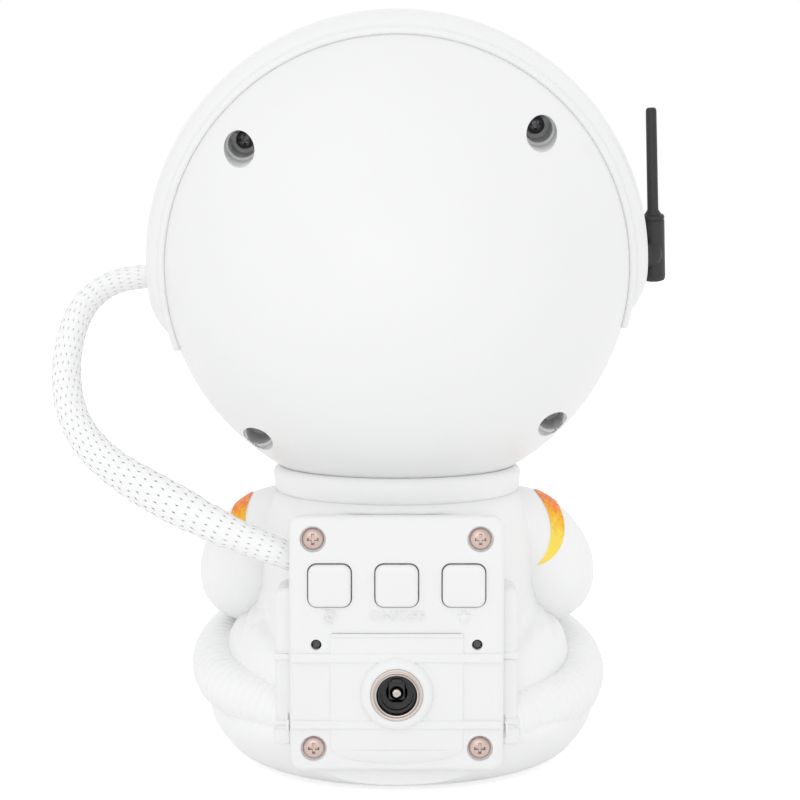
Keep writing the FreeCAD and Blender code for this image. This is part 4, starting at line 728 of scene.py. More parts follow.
# %% Rear plate of the backpack
PLATE_Y = -50.0
PLATE_BACK = -46.5
THROUGH = (-52, -45)
KEY_X = (-18.45, 0.0, 18.45)
KEY_Z = 59.1
WINDOW_HALF = 6.1
SCREW_SPOTS = ((-23.0, 13.4), (23.0, 13.4), (-23.0, 71.9), (23.0, 71.9))
LAMP_SPOTS = ((-22.2, 42.5), (22.2, 42.5))
JACK_SPOT = (0.0, 28.9)
JACK = move_to(JACK_SPOT[0], PLATE_Y, JACK_SPOT[1]) @ TO_REAR
FIELD_X, FIELD_TOP = (-18.3, 18.3), 45.7
LIP_Z = 13.0
plate = block("pack_plate", (-29.6, 29.6), (PLATE_Y, PLATE_BACK), (6.8, 78.2), 3.4, 1.5)
cutters = [block("window", around(x, WINDOW_HALF), THROUGH, around(KEY_Z, WINDOW_HALF), 2.5) for x in KEY_X]
cutters += [rod_y("recess", 3.55, (-52, -48.6), spot) for spot in SCREW_SPOTS]
cutters += [rod_y("pinhole", 1.45, THROUGH, spot, 32) for spot in LAMP_SPOTS]
cutters.append(rod_y("socket_hole", 5.6, THROUGH, JACK_SPOT))
cut_out(plate, *cutters)
soften_edges(0.28, plate)
field = block("middle_field", FIELD_X, (PLATE_Y - 0.35, PLATE_Y + 0.5), (12.8, FIELD_TOP), 0.5)
cut_out(field, rod_y("field_hole", 7.0, THROUGH, JACK_SPOT))
shelf = block("shelf", FIELD_X, (PLATE_Y - 0.8, PLATE_Y + 0.5), (FIELD_TOP - 1, FIELD_TOP), 0.3)
soften_edges(0.25, field, shelf)
straps = [block("strap", (-29.2, 29.2), (PLATE_Y - 0.75, PLATE_Y + 0.6), z, 0.3)
          for z in ((37.6, 40.2), (19.0, 21.3))]
soften_edges(0.32, *straps)
lip = stretched_ball("finger_lip", (0, PLATE_Y + 0.1, LIP_Z), (18.2, 1.0, 3.9), 64, 32)
edit(lip)
pick_all()
bpy.ops.mesh.bisect(plane_co=(0, 0, LIP_Z * MM), plane_no=(0, 0, 1), clear_outer=True, use_fill=True)
done()
outward(lip)
smooth_by(30, lip)
boss = turned("socket_boss", [(6.9, 0.6), (6.9, 1.6), (7.1, 1.95), (7.6, 2.1), (8.6, 2.05), (9.4, 1.75),
                              (9.9, 1.2), (10.15, 0.5), (10.25, -0.6), (6.9, -0.6)], loop=True, place=JACK)
smooth_by(50, boss)
plate = joined("pack_plate", plate, field, shelf, lip, boss, *straps)
give(plate, "base", "white_panel", "pack_panel")

# %% [markdown]
# Behind the plate stands the backpack's housing: a wide block with soft corners, two ledges round
# its sides in line with the straps, two small feet under them, and a narrower core that reaches from
# top to bottom.  The core and the block are two plates of different width joined as one.

# %% Housing of the backpack
BLOCK_Y = (PLATE_BACK, -33.0)
core = block("pack_core", (-27.5, 27.5), BLOCK_Y, (8.8, 76.2), 2.6, 0.5)
wide = block("pack_block", (-33.7, 33.7), BLOCK_Y, (14.0, 57.8), 3.0, 1.6)
ledges = [block("ledge", (-34.0, 34.0), (-46.9, -36.0), z, 0.4, 0.5) for z in ((37.4, 40.0), (18.9, 21.1))]
feet = [block("side_foot", around(side * 31.8, 2.4), (-47.1, -36.0), (13.6, 18.2), 1.2, 0.9)
        for side in (-1, 1)]
soften_edges(0.25, core, wide, *ledges, *feet)
housing = joined("pack_housing", core, wide, *ledges, *feet)
give(housing, "base", "white_panel", "pack_frame")

# %% [markdown]
# Each key is a square cap with round corners and a slightly pillowed face, so that it catches a line
# of light along its upper edge.  Behind the plate it has a flange that keeps it in and a stem that
# reaches the switch.  Each one rides on its own body, because each is pushed by itself.

# %% Keys
KEY_HALF, FLANGE_HALF = 5.85, 6.7
KEY_FACE = -51.5
for name, x in zip(("button_nebula", "button_power", "button_star"), KEY_X):
    cap = block("key_cap", around(x, KEY_HALF), (KEY_FACE, -46.3), around(KEY_Z, KEY_HALF), 2.3, 0.9)
    edit(cap)
    pick("FACE", lambda f: f.normal.y < -0.99)
    for share, lift in ((0.82, 0.07), (0.6, 0.04)):
        bpy.ops.mesh.extrude_region_move(TRANSFORM_OT_translate={"value": (0, -lift * MM, 0)})
        bpy.ops.transform.resize(value=(share, 1, share), center_override=Vector((x, KEY_FACE, KEY_Z)) * MM)
    done()
    flange = block("flange", around(x, FLANGE_HALF), (-46.2, -45.3), around(KEY_Z, FLANGE_HALF), 2.5, 0.2)
    stem = rod_y("stem", 2.0, (-45.4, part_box(name)[1].y / MM), (x, KEY_Z), 32)
    smooth_flats(cap, flange, stem)
    give(joined("key_" + name[7:], cap, flange, stem), name, "white_button", name)

# %% [markdown]
# The four screws of the plate are copper-tinted pan heads with a cross recess whose four lobes taper
# inwards.  One screw is turned from a profile, its recess is cut, and the other three are copies.

# %% Copper screws


def cross_cutter(reach, half, depth, y, at):
    """Two crossed bars that narrow with depth, for the recess of a screw; y is the head's crown."""
    bars = []
    above = 0.3
    for x_half, z_half in ((reach, half), (half, reach)):
        bpy.ops.mesh.primitive_cube_add(size=2)
        bar = added("bar")
        set_down(bar, move_to(at[0], y + depth / 2 - above, at[1])
                 @ Matrix.Diagonal((x_half * MM, (depth / 2 + above) * MM, z_half * MM, 1)))
        edit(bar)
        pick("FACE", lambda f: f.normal.y > 0.9)
        bpy.ops.transform.resize(value=(0.62, 1, 0.62))
        done()
        bars.append(bar)
    combine(bars[0], "UNION", bars[1])
    return bars[0]


def pan_screws(name, head, crown_y, spots, tip_y):
    """The same screw along Y at each (x, z) spot; head is its (radius, height)."""
    radius, height = head
    shank = height + crown_y - tip_y
    x, z = spots[0]
    screw = turned(name, [(0, height), (radius * 0.45, height * 0.99), (radius * 0.75, height * 0.88),
                          (radius * 0.92, height * 0.62), (radius, height * 0.30), (radius, 0),
                          (1.3, 0), (1.3, shank + 1.2), (0, shank)],
                   steps=48, place=move_to(x, crown_y + height, z) @ TO_REAR)
    cut_out(screw, cross_cutter(radius * 0.60, radius * 0.17, 0.95, crown_y, spots[0]))
    smooth_by(35, screw)
    others = [copy_of(screw, name, (u - x, 0, v - z)) for u, v in spots[1:]]
    return joined(name, screw, *others)


low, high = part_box("panel_screws")
screws = pan_screws("plate_screws", (3.1, 1.3), low.y / MM, SCREW_SPOTS, high.y / MM)
give(screws, "base", "copper_screw", "panel_screws")

# %% [markdown]
# The power socket is a nickel ring let into the white boss.  Inside it a black insulator holds the
# bright centre pin in a small square housing with a spring tongue above it.

# %% Power socket
RING_TOP = 2.75
PIN_SUNK = 0.9
ring = turned("socket_ring", [(5.55, 0.2), (5.55, RING_TOP - 0.25), (5.65, RING_TOP - 0.05), (5.85, RING_TOP),
                              (6.0, RING_TOP - 0.15), (6.05, RING_TOP - 0.9), (6.3, RING_TOP - 0.95),
                              (6.4, RING_TOP - 0.45), (6.6, RING_TOP - 0.35), (7.1, RING_TOP - 0.45),
                              (7.38, RING_TOP - 0.8), (7.48, RING_TOP - 1.3), (7.48, 0.2)],
              loop=True, place=JACK)
give(ring, "base", "nickel", "jack_ring", smooth=40)
back = PLATE_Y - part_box("jack_body")[1].y / MM
insulator = turned("socket_insulator", [(0, -9.6), (2.9, -9.6), (3.0, -1.2), (4.5, -0.6), (4.6, 0.9),
                                        (5.25, 1.3), (5.3, back), (0, back)], steps=64, place=JACK)
shroud = block("pin_shroud", (-2.35, 2.35), (-49.3, -44.0), (26.9, 32.3), 0.7, 0.3)
cut_out(shroud, rod_y("shroud_hole", 1.9, (-52, -43), JACK_SPOT))
tongue = block("spring_tongue", (-1.5, 1.5), (-49.7, -45.0), (31.6, 33.0), 0.3, 0.3)
hook = block("contact_hook", (-2.0, 2.0), (-49.0, -45.0), (25.3, 26.2), 0.3, 0.2)
soften_edges(0.12, shroud, tongue, hook)
smooth_by(35, insulator)
give(joined("socket_insulator", insulator, shroud, tongue, hook), "base", "black_plastic", "jack_body")
pin = turned("socket_pin", [(0, 0.9), (0.85, 0.9), (1.15, 0.75), (1.28, 0.45), (1.28, -10.0), (0, -10.0)],
             steps=40, place=move_to(0, PLATE_Y + PIN_SUNK, JACK_SPOT[1]) @ TO_REAR)
cut_out(pin, block("pin_notch", (-0.35, 0.35), (-51.0, -49.4), (28.6, 29.5), 0.1))
give(pin, "base", "nickel", "jack_pin", smooth=40)

# %% [markdown]
# Under the keys the plate carries small raised signs, a spiral for the nebula, ON/OFF for the lamp
# and a star.  They are less than half a millimetre high and white like the plate, so they only show
# by their shade.  Text and flat outlines become meshes before they are put in place.

# %% Raised signs
SIGN_Z = 50.4
SIGN_HIGH = 0.45


def sign_text(words, x, height):
    """Raised lettering on the plate."""
    bpy.ops.object.text_add()
    piece = bpy.context.object
    text = piece.data
    text.body = words
    text.size = height * MM
    text.align_x = text.align_y = "CENTER"
    text.extrude = SIGN_HIGH * MM
    text.space_character = 1.12
    text.resolution_u = 4
    only(piece)
    bpy.ops.object.convert(target="MESH")
    piece = added("sign_on_off")
    set_down(piece, move_to(x, PLATE_Y + 0.02, SIGN_Z) @ TO_REAR)
    outward(piece)
    return piece


def sign_outline(name, corners, x):
    """A raised flat shape from its corner points in mm."""
    bpy.ops.mesh.primitive_circle_add(vertices=len(corners), radius=1 * MM, fill_type="NGON")
    piece = added(name)
    for vertex, (u, v) in zip(piece.data.vertices, corners):
        vertex.co = Vector((u, v, 0)) * MM
    edit(piece)
    pick_all()
    bpy.ops.mesh.extrude_region_move(TRANSFORM_OT_translate={"value": (0, 0, (SIGN_HIGH + 0.1) * MM)})
    done()
    set_down(piece, move_to(x, PLATE_Y + 0.1, SIGN_Z) @ TO_REAR)
    outward(piece)
    return piece


def spiral(turn, wide, count):
    """The outline of one tapering spiral arm."""
    outer, inner = [], []
    for i in range(count + 1):
        part = i / count
        angle = turn + part * math.radians(300)
        reach = 0.25 + 1.75 * part
        half = wide * (1 - 0.75 * part)
        outer.append(((reach + half) * math.cos(angle) * 1.25, (reach + half) * math.sin(angle)))
        inner.append(((reach - half) * math.cos(angle) * 1.25, (reach - half) * math.sin(angle)))
    return outer + inner[::-1]


star = [(reach * math.sin(math.pi * i / 5), reach * math.cos(math.pi * i / 5))
        for i, reach in enumerate((1.9, 0.78) * 5)]
signs = [sign_text("ON/OFF", 0.0, 3.9), sign_outline("sign_star", star, KEY_X[2])]
signs += [sign_outline("sign_spiral", spiral(start, 0.24, 18), KEY_X[0]) for start in (0, math.pi)]
give(joined("plate_signs", *signs), "base", "white_panel")

# %% [markdown]
# The suit is moulded to look like stuffed cloth: full hips that fill the ring of the legs, a waist
# with folds running towards the arms, and a round chest.  The trunk is spun from a profile and
# remeshed, so that the folds can be pressed in point by point, each as a soft groove along a line.

# %% Trunk of the suit


def smooth_skin(piece, voxel, passes):
    """Remeshes a closed shape into an even skin and relaxes it."""
    change(piece, "REMESH", mode="VOXEL", voxel_size=voxel * MM)
    change(piece, "SMOOTH", factor=0.5, iterations=passes)


def groove(piece, line, width, depth):
    """Presses a soft groove along a line of points in mm; a negative depth raises a fold."""
    count = len(piece.data.vertices)
    places, normals = np.empty(3 * count), np.empty(3 * count)
    piece.data.vertices.foreach_get("co", places)
    piece.data.vertex_normals.foreach_get("vector", normals)
    places, normals = places.reshape(-1, 3), normals.reshape(-1, 3)
    gap = np.full(count, np.inf)
    along = np.zeros(count)
    stops = np.array(line) * MM
    for i, (a, b) in enumerate(zip(stops, stops[1:])):
        part = np.clip((places - a) @ (b - a) / ((b - a) @ (b - a)), 0, 1)
        reach = np.linalg.norm(places - (a + part[:, None] * (b - a)), axis=1)
        nearer = reach < gap
        gap[nearer] = reach[nearer]
        along[nearer] = (i + part[nearer]) / (len(stops) - 1)
    push = depth * MM * np.sin(np.pi * (0.12 + 0.80 * along)) * np.exp(-(gap / (width * MM)) ** 2)
    piece.data.vertices.foreach_set("co", (places - normals * push[:, None]).ravel())
    piece.data.update()


def press_folds(piece, side, folds):
    """Presses a table of grooves on one side; each is a line, a width and a depth in mm."""
    for line, width, depth in folds:
        groove(piece, [(side * x, y, z) for x, y, z in line], width, depth)


BALL_MIDDLE = 146.5
TRUNK = ((0, 15), (38, 15), (45, 17), (49.3, 21), (51.2, 26), (51.6, 31), (50.4, 36), (47.6, 40.6),
         (44.6, 44.4), (42.4, 48), (41.4, 52), (41.6, 57), (41.9, 62), (41.2, 67), (40.1, 71.5),
         (38.9, 75.2), (37.2, 78.2), (34.6, 79.7), (0, 79.7))
TRUNK_FOLDS = (
    (((43.5, -8, 47), (38, -24, 43), (33, -38, 38)), 1.8, 1.7),
    (((44.5, -4, 45), (45, -16, 38), (43, -27, 33)), 1.7, 1.3),
    (((44, -14, 48), (41, -20, 41), (40, -29, 34)), 1.5, 1.1),
    (((41, -16, 52), (37, -27, 47), (30, -37, 45)), 1.9, 1.2),
    (((30, -30, 77), (29, -33, 66), (31, -34, 56)), 3.0, 0.35),
    (((38, 22, 47), (30, 36, 45), (20, 44, 42)), 2.0, 0.8),
    (((40, 16, 50), (33, 28, 51), (24, 36, 50)), 1.8, 0.5),
)
trunk = turned("suit_trunk", TRUNK, steps=128)
bpy.ops.mesh.primitive_uv_sphere_add(segments=64, ring_count=32, radius=70.4 * MM,
                                     location=(0, 0, BALL_MIDDLE * MM))
ball_room = added("ball_room")
set_down(ball_room)
bpy.ops.mesh.primitive_cylinder_add(vertices=64, radius=23 * MM, depth=16 * MM, location=(0, 0, 74.8 * MM))
cup_room = added("cup_room")
set_down(cup_room)
for room in (block("pack_room", (-28, 28), (-70, -33.3), (2, 76.4), 2.6), ball_room, cup_room):
    cut_out(trunk, room)
smooth_skin(trunk, 1.0, 6)
for side in (-1, 1):
    press_folds(trunk, side, TRUNK_FOLDS)
change(trunk, "SMOOTH", factor=0.4, iterations=2)
give(trunk, "base", "white_suit", "torso_back_shell", "torso_front_shell", smooth=180)

# %% [markdown]
# The sleeves are stuffed tubes that hang from the shoulders, bend at the elbow and reach forward to
# the gloves.  A curve with its own thickness at each point gives the tube; it is closed, remeshed
# and given a few folds at the elbow.  The gold shoulder band is the same sleeve, a little fatter, cut
# down to a crescent, so it follows the sleeve exactly.  On the left its end stops short of the hose.

# %% Sleeves and gold shoulder bands
SLEEVE = (((29, 0, 72), 8.5), ((35, -1, 70.5), 11.0), ((41.5, -2, 65), 12.4), ((46.4, -2, 56.6), 13.3),
          ((46.6, 3, 50.9), 12.6), ((43.5, 14, 47.6), 11.0), ((38, 27, 46.4), 9.8), ((31.5, 40, 47.0), 8.6),
          ((28.5, 45, 47.4), 8.0))
SLEEVE_FOLDS = (
    (((36, 4, 41.5), (46, 10, 41), (56, 10, 47)), 1.8, 0.9),
    (((33, 20, 55), (45, 18, 56), (55, 12, 55)), 1.6, 0.7),
    (((35, 26, 38), (43, 27, 38), (49, 26, 44)), 1.5, 0.7),
    (((52, -10, 64), (57, -4, 58), (59, 2, 52)), 3.5, 0.4),
)
CRESCENT_X, CRESCENT_RADIUS = 37.92, 11.46
# For each side: the crescent's height, then the inner circle's x, height and radius.
CRESCENTS = {-1: (70.4, 30.95, 72.0, 13.7), 1: (69.4, 30.17, 68.8, 15.08)}


def sleeve_tube(side):
    """The closed tube of one sleeve."""
    tube = spline_along("sleeve_line", [(side * x * MM, y * MM, z * MM) for (x, y, z), _ in SLEEVE], 8)
    tube.data.bevel_depth = 1.0
    tube.data.bevel_resolution = 10
    tube.data.use_fill_caps = True
    for point, (_, radius) in zip(tube.data.splines[0].points, SLEEVE):
        point.radius = radius * MM
    only(tube)
    bpy.ops.object.convert(target="MESH")
    tube = added("sleeve")
    outward(tube)
    smooth_skin(tube, 0.8, 10)
    return tube


sleeves, bands = [], []
for side in (-1, 1):
    sleeve = sleeve_tube(side)
    press_folds(sleeve, side, SLEEVE_FOLDS)
    sleeves.append(sleeve)
    fat = copy_of(sleeve, "gold_band")
    change(fat, "DISPLACE", strength=0.28 * MM, mid_level=0)
    crescent_z, inner_x, inner_z, inner_radius = CRESCENTS[side]
    crescent = rod_y("crescent", CRESCENT_RADIUS, (-30, 30), (side * CRESCENT_X, crescent_z), 128)
    cut_out(crescent, rod_y("crescent_hole", inner_radius, (-31, 31), (side * inner_x, inner_z), 128))
    if side < 0:
        cut_out(crescent, rod_y("crescent_end", 10.5, (-31, 31), (side * 38, 57.0), 128))
    combine(fat, "INTERSECT", crescent)
    bands.append(fat)
give(joined("suit_sleeves", *sleeves), "base", "white_suit", "arms", smooth=180)
give(joined("gold_bands", *bands), "base", "gold_paint", "shoulder_bands", smooth=30)

# %% [markdown]
# The legs are one ribbed tube, crossed in front, that lies round the hips and rises a little to the
# front.  It starts as a circle that is spun round the hips with five steps to a rib; the rings are
# then drawn in and out.  The stretches between the boots and behind the backpack are cut away,
# because nobody sees them.

# %% Ribbed legs
RIBS = 124
LEG_REACH = 54.3
LEG_THICK = 7.3
LEG_TILT = math.radians(11)
LEG_ROLL = math.radians(1.8)
STEPS_PER_RIB = 5
RIB_HIGH, RIB_LOW = 0.13, 0.09
REAR_SWELL, REAR_TUCK = 0.10, 0.095
HIDDEN_FRONT, HIDDEN_REAR = 17, 30.2
legs = turned("ribbed_legs", arc((LEG_REACH, 0), LEG_THICK, 0, 347, 27), steps=RIBS * STEPS_PER_RIB,
              loop=True)
for vertex in legs.data.vertices:
    angle = math.atan2(vertex.co.y, vertex.co.x)
    middle = Vector((math.cos(angle), math.sin(angle), 0)) * LEG_REACH * MM
    ridge = abs(math.cos(angle * RIBS / 2)) ** 0.7
    worn = 0.75 + 0.25 * math.sin(3 * angle + 1) * math.sin(7 * angle)
    rear = max(0.0, -math.sin(angle))
    thick = 1 + (RIB_HIGH * ridge - RIB_LOW) * worn + REAR_SWELL * rear ** 3
    pull = 1 - REAR_TUCK * eased((rear - 0.35) / 0.43)
    vertex.co = middle * pull + (vertex.co - middle) * thick
set_down(legs, move_to(0.4, 0, 27.3) @ Matrix.Rotation(LEG_ROLL, 4, "Y") @ Matrix.Rotation(LEG_TILT, 4, "X"))


def hidden(face):
    """Whether a face of the legs lies between the boots or behind the backpack."""
    middle = face.calc_center_median()
    return abs(middle.x) < (HIDDEN_FRONT if middle.y > 0 else HIDDEN_REAR) * MM


edit(legs)
pick("FACE", hidden)
bpy.ops.mesh.delete(type="FACE")
close_rims()
done()
outward(legs)
give(legs, "base", "ribbed_white", "legs", smooth=60)

# %% [markdown]
# The helmet sits in a plain round collar with a soft lip.  Its outline is spun round the middle.

# %% Neck collar
collar_line = [(24.2, 79.1), *arc((34.6, 80.9), 1.9, 270, 345, 5), *arc((34.65, 84.5), 2.2, 5, 90, 8),
               (34.5, 86.68), (30, 84.2), (24.2, 80.7)]
collar = turned("neck_ring", collar_line, steps=128, loop=True)
give(collar, "base", "white_suit", "neck_collar", smooth=35)

# %% [markdown]
# A band runs over the helmet from ear to ear.  From behind it shows a narrow bead, a shallow groove,
# a broad smooth face, and a fine step near its crown.  The outline is drawn as distance along the
# band's axis and distance from it, then spun a bit more than half a turn and leaned forward.

# %% Headband
HEAD_ROLL, HEAD_LEAN, BAND_LEAN = math.radians(-2.9), math.radians(8.9), math.radians(-2.4)
HEAD = move_to(0, 0, BALL_MIDDLE) @ Matrix.Rotation(HEAD_ROLL, 4, "Y") @ Matrix.Rotation(HEAD_LEAN, 4, "X")
BAND = HEAD @ Matrix.Rotation(BAND_LEAN, 4, "X")
EAR = HEAD @ move_to(0, 12, -3.6)
BAND_FOOT = 70.5


def on_ball(radius, y):
    """A point of a band's outline: distance from the axis, and along it, on a ball of that radius."""
    return (math.sqrt(radius * radius - y * y), y)


def band(name, outline, drop):
    """Spins an outline over the helmet, down to `drop` mm below its middle on both sides."""
    under = math.degrees(math.asin(drop / BAND_FOOT))
    return turned(name, outline, steps=150, sweep=180 + 2 * under, loop=True,
                  place=Matrix.Rotation(math.radians(under), 4, "Y") @ TO_FRONT)


def taper_ends(piece, start, end, floor_radius):
    """Thins the two ends of a band from the outside, like a quarter of an ellipse."""
    for vertex in piece.data.vertices:
        drop = -vertex.co.z / MM
        if drop > start:
            part = min(1.0, (drop - start) / (end - start))
            reach = vertex.co.length / MM
            if reach > floor_radius:
                thin = floor_radius + (reach - floor_radius) * math.sqrt(1 - part * part)
                vertex.co *= thin / reach


bead = [on_ball(*spot) for spot in (
    (69.06, 20.0), (69.06, -17.4), (69.9, -17.55), (70.4, -17.2), (70.75, -16.6), (70.8, -15.6),
    (70.6, -14.9), (70.6, 20.0))]
face = [on_ball(*spot) for spot in (
    (70.0, 22.0), (70.0, -14.6), (71.2, -14.4), (72.2, -13.4), (72.9, -11.6), (73.2, -9.5),
    (73.35, -6.9), (73.0, -6.5), (73.1, -6.1), (73.85, -5.7), (73.95, -5.0), (73.85, 0), (73.85, 8),
    (73.85, 16), (73.85, 22.4), (73.6, 23.3), (73.0, 23.9), (72, 24.1), (70.0, 24.0))]
bands = [band("band_bead", bead, 21.0), band("band_face", face, 15.6)]
soften_edges(0.5, *bands, segments=3, angle=50)
taper_ends(bands[1], 5.0, 15.7, 70.2)
for each in bands:
    set_down(each, BAND)
pads = [turned("ear_pad", [(0, 66), (12.7, 66), (12.7, 69.2), (12.2, 70.6), (11.2, 71.9), (9.8, 72.8),
                           (8.2, 73.5), (6.6, 73.9), (5.0, 74.0), (0, 74.0)],
               steps=80, place=EAR @ Matrix.Rotation(side * math.pi / 2, 4, "Y")) for side in (-1, 1)]
smooth_by(35, *pads)
give(joined("headband", *bands, *pads), "head", "white_helmet", "headband_arch")

# %% [markdown]
# The rear half of the helmet is a thin ball shell.  Four deep wells lead to the screws that hold the
# halves together; each has a wider mouth with a step.  The shell is spun from an arc out and an arc
# back, bosses are added inside, and stepped cutters open the wells.

# %% Rear half of the helmet
WELLS = ((-41.3, 40.2), (41.3, 40.2), (-42.0, -42.7), (42.0, -42.7))
BALL, SHELL_INSIDE, SEAM = 69.0, 66.8, 2.0
WELL_FLOOR, BOSS_REACH = 13.0, 68.2


def round_normals(piece, radius):
    """Gives the outer faces of a ball the ball's own normals, so that cuts leave no dents in the light."""
    mesh = piece.data
    normals = []
    for face in mesh.polygons:
        outer = abs(face.center.length - radius * MM) < 0.3 * MM
        for index in face.loop_indices:
            place = mesh.vertices[mesh.loops[index].vertex_index].co
            normals.append(place.normalized() if outer else (0, 0, 0))
    mesh.normals_split_custom_set(normals)


seam_angle = math.degrees(math.asin(SEAM / BALL))
shell_line = arc((0, 0), BALL, 90, -seam_angle, 56) + arc((0, 0), SHELL_INSIDE, -seam_angle, 90, 30)
shell = turned("helmet_rear", shell_line, steps=176, place=TO_REAR)
bpy.ops.mesh.primitive_uv_sphere_add(segments=96, ring_count=48, radius=BOSS_REACH * MM)
inside = added("inside_ball")
wells, bosses = [], []
for x, z in WELLS:
    spot = move_to(x, 0, z) @ TO_REAR
    bosses.append(turned("boss", [(0, 66), (5.6, 66), (5.6, WELL_FLOOR - 2), (0, WELL_FLOOR - 2)],
                         steps=48, place=spot))
    wells.append(turned("well", [(0, 80), (4.55, 80), (4.55, 25.5), (3.95, 25.0), (3.9, WELL_FLOOR),
                                 (0, WELL_FLOOR)], steps=64, place=spot))
bosses = joined("bosses", *bosses)
combine(bosses, "INTERSECT", inside)
combine(shell, "UNION", bosses)
cut_out(shell, *wells)
smooth_by(30, shell)
round_normals(shell, BALL)
set_down(shell, HEAD)
give(shell, "head", "white_helmet", "helmet_back_shell")
screws = pan_screws("helmet_screws", (2.7, 1.9), -WELL_FLOOR - 1.95, WELLS, 2.0)
set_down(screws, HEAD)
give(screws, "head", "dark_steel", "head_screws")

# %% [markdown]
# The antenna is a black rod in a thick barrel, held by a round saddle on a thin disc at the right
# ear.  The barrel has soft ends and a fine groove under its top; a small cone leads up to the rod.

# %% Antenna
STALK = EAR @ move_to(77.7, 0, 1.0)
barrel = turned("antenna_grip", [(0, -9.0), (2.2, -9.0), (2.95, -8.75), (3.3, -8.2), (3.4, -7.3), (3.4, 9.6),
                                 (3.22, 9.7), (3.22, 10.0), (3.4, 10.1), (3.38, 10.7), (3.1, 11.2),
                                 (2.6, 11.3), (1.7, 11.3), (1.7, 6.5), (0, 6.5)], steps=64, place=STALK)
saddle = turned("antenna_saddle", [(0, 69.4), (2.45, 69.4), (2.45, 74.25), (5.95, 74.25), (6.05, 74.45),
                                   (6.05, 74.9), (5.9, 75.1), (4.9, 75.15), (4.75, 75.4), (4.75, 77.2),
                                   (4.5, 78.3), (3.9, 79.2), (3.0, 79.8), (2.0, 80.1), (0, 80.2)],
                steps=72, place=EAR @ move_to(0, 0, 0.5) @ Matrix.Rotation(math.pi / 2, 4, "Y"))
smooth_by(32, barrel, saddle)
give(joined("antenna_grip", barrel, saddle), "antenna", "black_plastic", "antenna_knob")
rod = turned("antenna_stalk", [(0, 6.6), (1.65, 6.6), (1.65, 10.9), (2.45, 11.25), (2.4, 11.6), (1.75, 12.6),
                               (1.66, 13.0), (1.6, 42.3), (1.45, 42.9), (1.1, 43.2), (0, 43.25)],
             steps=48, place=STALK)
give(rod, "antenna", "black_plastic", "antenna_rod", smooth=32)

# %% [markdown]
# Gloves and boots are stuffed shapes: rows of balls are merged into one skin and relaxed, so each
# finger stays a soft roll.  The gloves rest on the knees with the thumb up; the boots cross in front
# and show a flat tread.  The chest carries a small panel with a strip and three knobs.

# %% Gloves, boots and chest panel


def stuffed(name, balls, voxel, passes):
    """One soft skin over balls that are given as (place, radii) in mm."""
    piece = joined(name, *[stretched_ball("ball", place, radii, 28, 18) for place, radii in balls])
    smooth_skin(piece, voxel, passes)
    return piece


def row(start, end, first, last, count=6):
    """Balls from one place to another whose radius goes from first to last."""
    start, end = Vector(start), Vector(end)
    return [(start.lerp(end, i / (count - 1)), [first + (last - first) * i / (count - 1)] * 3)
            for i in range(count)]


def ring_on(name, place, along, radius, thick):
    """A soft cuff: a torus round a line through a place."""
    bpy.ops.mesh.primitive_torus_add(major_segments=64, minor_segments=20, major_radius=radius * MM,
                                     minor_radius=thick * MM)
    cuff = added(name)
    turn = Vector(along).to_track_quat("Z", "Y").to_matrix().to_4x4()
    set_down(cuff, move_to(*place) @ turn)
    return cuff


gloves, boots = [], []
for side in (-1, 1):
    hand = row((side * 28.6, 45.5, 47.4), (side * 24.5, 50.5, 47.6), 5.8, 6.0, 4)
    hand.append(((side * 23.0, 51.0, 47.4), (5.6, 4.9, 6.6)))
    for k in range(4):
        knuckle = (side * (22.2 - 0.4 * k), 53.6, 51.6 - 2.9 * k)
        middle = (side * (18.4 - 0.5 * k), 55.4, 51.0 - 2.9 * k)
        tip = (side * (15.6 - 0.3 * k), 53.4, 50.2 - 2.8 * k)
        hand += row(knuckle, middle, 2.1, 2.0) + row(middle, tip, 2.0, 1.75, 4)
    thumb = (side * 21.6, 52.6, 53.8)
    hand += row((side * 25.2, 49.5, 51.2), thumb, 2.5, 2.3)
    hand += row(thumb, (side * 18.6, 54.0, 54.0), 2.3, 1.9, 4)
    gloves.append(stuffed("glove", hand, 0.42, 5))
    gloves.append(ring_on("glove_cuff", (side * 28.2, 45.6, 47.4), (-side * 0.51, 0.85, 0.07), 6.9, 1.5))
    heel, toe = (side * 17.0, 53.0, 33.5), (side * 11.2, 53.2, 24.4)
    foot = row((side * 18.6, 51.0, 36.4), heel, 7.4, 7.6, 4) + row(heel, toe, 7.2, 6.9)
    boots.append(stuffed("boot", foot, 0.6, 6))
    sole = [((p[0], 59.0, p[2]), (r[0] + 0.5, 1.9, r[2] + 0.5)) for p, r in foot[2:]]
    boots.append(stuffed("boot_sole", sole, 0.4, 3))
    for part in (0.12, 0.36, 0.6, 0.84):
        bar_at = Vector((side * 17.0, 60.7, 34.0)).lerp(Vector((side * 11.2, 60.7, 24.0)), part)
        bar = block("tread", (-4.6, 4.6), (-0.7, 0.6), (-0.75, 0.75), 0.5, 0.25, rear=False)
        set_down(bar, move_to(*bar_at) @ Matrix.Rotation(side * math.radians(30), 4, "Y"))
        boots.append(bar)
    boots.append(ring_on("boot_cuff", (side * 21.2, 49.2, 37.6), (side * 0.93, -0.35, 0.1), 6.9, 1.5))
for each in gloves + boots:
    only(each)
    bpy.ops.object.shade_smooth()
give(joined("suit_gloves", *gloves), "base", "white_suit", "gloves")
give(joined("suit_boots", *boots), "base", "white_suit", "boots")

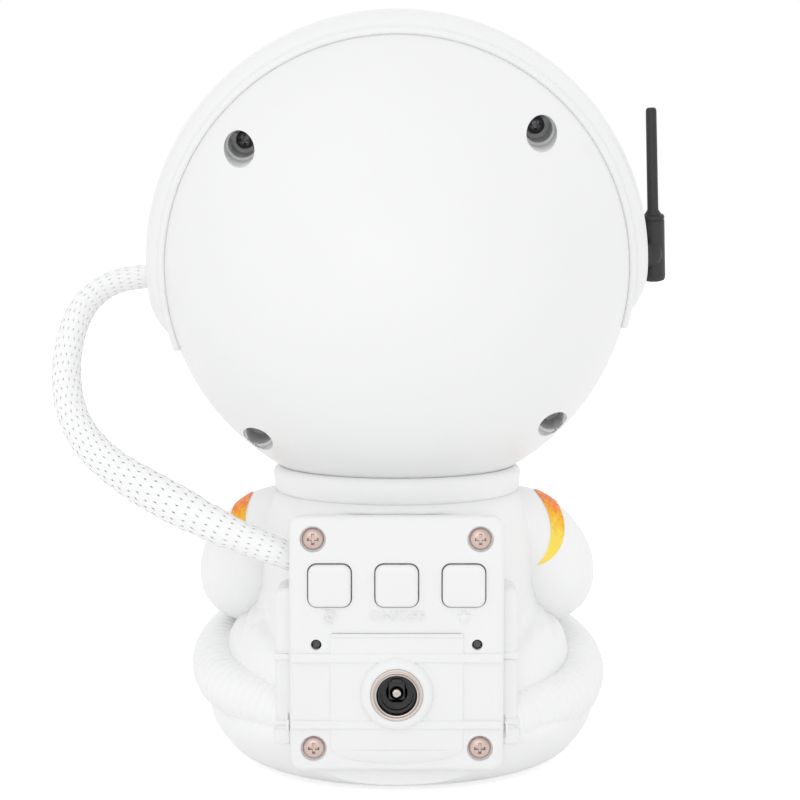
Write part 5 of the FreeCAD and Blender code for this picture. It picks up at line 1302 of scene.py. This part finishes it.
CHEST_FACE = 45.4
chest = block("chest_box", (-14.6, 14.6), (37.2, CHEST_FACE), (56.4, 71.8), 3.0, 1.2, rear=False)
strip = block("chest_strip", (-10.8, 10.8), (44.5, 46.2), (65.4, 69.4), 1.6, 0.5, rear=False)
cut_out(strip, block("strip_window", (-9.6, 9.6), (45.5, 47), (66.4, 68.4), 0.8))
soften_edges(0.2, chest, strip)
knobs = [turned("chest_knob", [(0, 2.0), (1.5, 1.95), (2.0, 1.6), (2.2, 1.0), (2.25, 0.25), (2.9, 0.2),
                               (3.1, 0), (3.1, -0.6), (0, -0.6)],
                steps=48, place=move_to(x, CHEST_FACE, 60.6) @ TO_FRONT) for x in (-7.6, 0.0, 7.6)]
smooth_by(35, *knobs)
give(joined("chest_panel_box", chest, strip, *knobs), "base", "white_suit", "chest_panel")

# %% [markdown]
# The seat is a smooth bowl under the crossed legs.  Its measured shape is nearly right, so its skin
# is taken over, merged, and made a touch wider, as the moulding bulges out over the foot, and its
# wider part lies slightly to the right.  The notch for the housing is drawn in a little instead.

# %% Seat bowl
NOTCH_X, NOTCH_SPAN, NOTCH_LOW = 35.2, 10, 12
DRAWN_IN, WIDER, WIDER_BELOW = 0.975, 1.024, 0.022
RIM_TOP, SHIFT, SHIFT_SPAN = 14, 1.3, 40
seat = NODES["seat_shell"].copy()
seat.data = NODES["seat_shell"].data.copy()
seat.name = "seat_bowl"
seat.data.name = "seat_bowl"
scene.collection.objects.link(seat)
seat.parent = None
seat.matrix_world = Matrix.Identity(4)
edit(seat)
pick_all()
bpy.ops.mesh.customdata_custom_splitnormals_clear()
bpy.ops.mesh.remove_doubles(threshold=0.001 * MM)
done()
for vertex in seat.data.vertices:
    side = 1 if vertex.co.x > 0 else -1
    away = abs(vertex.co.x) / MM
    height = vertex.co.z / MM
    inner = (1 - eased((away - NOTCH_X) / NOTCH_SPAN)) * (1 - eased((NOTCH_LOW - height) / NOTCH_LOW))
    grown = away * (WIDER + WIDER_BELOW * eased((RIM_TOP - height) / RIM_TOP))
    grown += side * SHIFT * min(1.0, away / SHIFT_SPAN)
    vertex.co.x = side * (away * DRAWN_IN * inner + grown * (1 - inner)) * MM
give(seat, "base", "white_suit", "seat_shell", smooth=32)
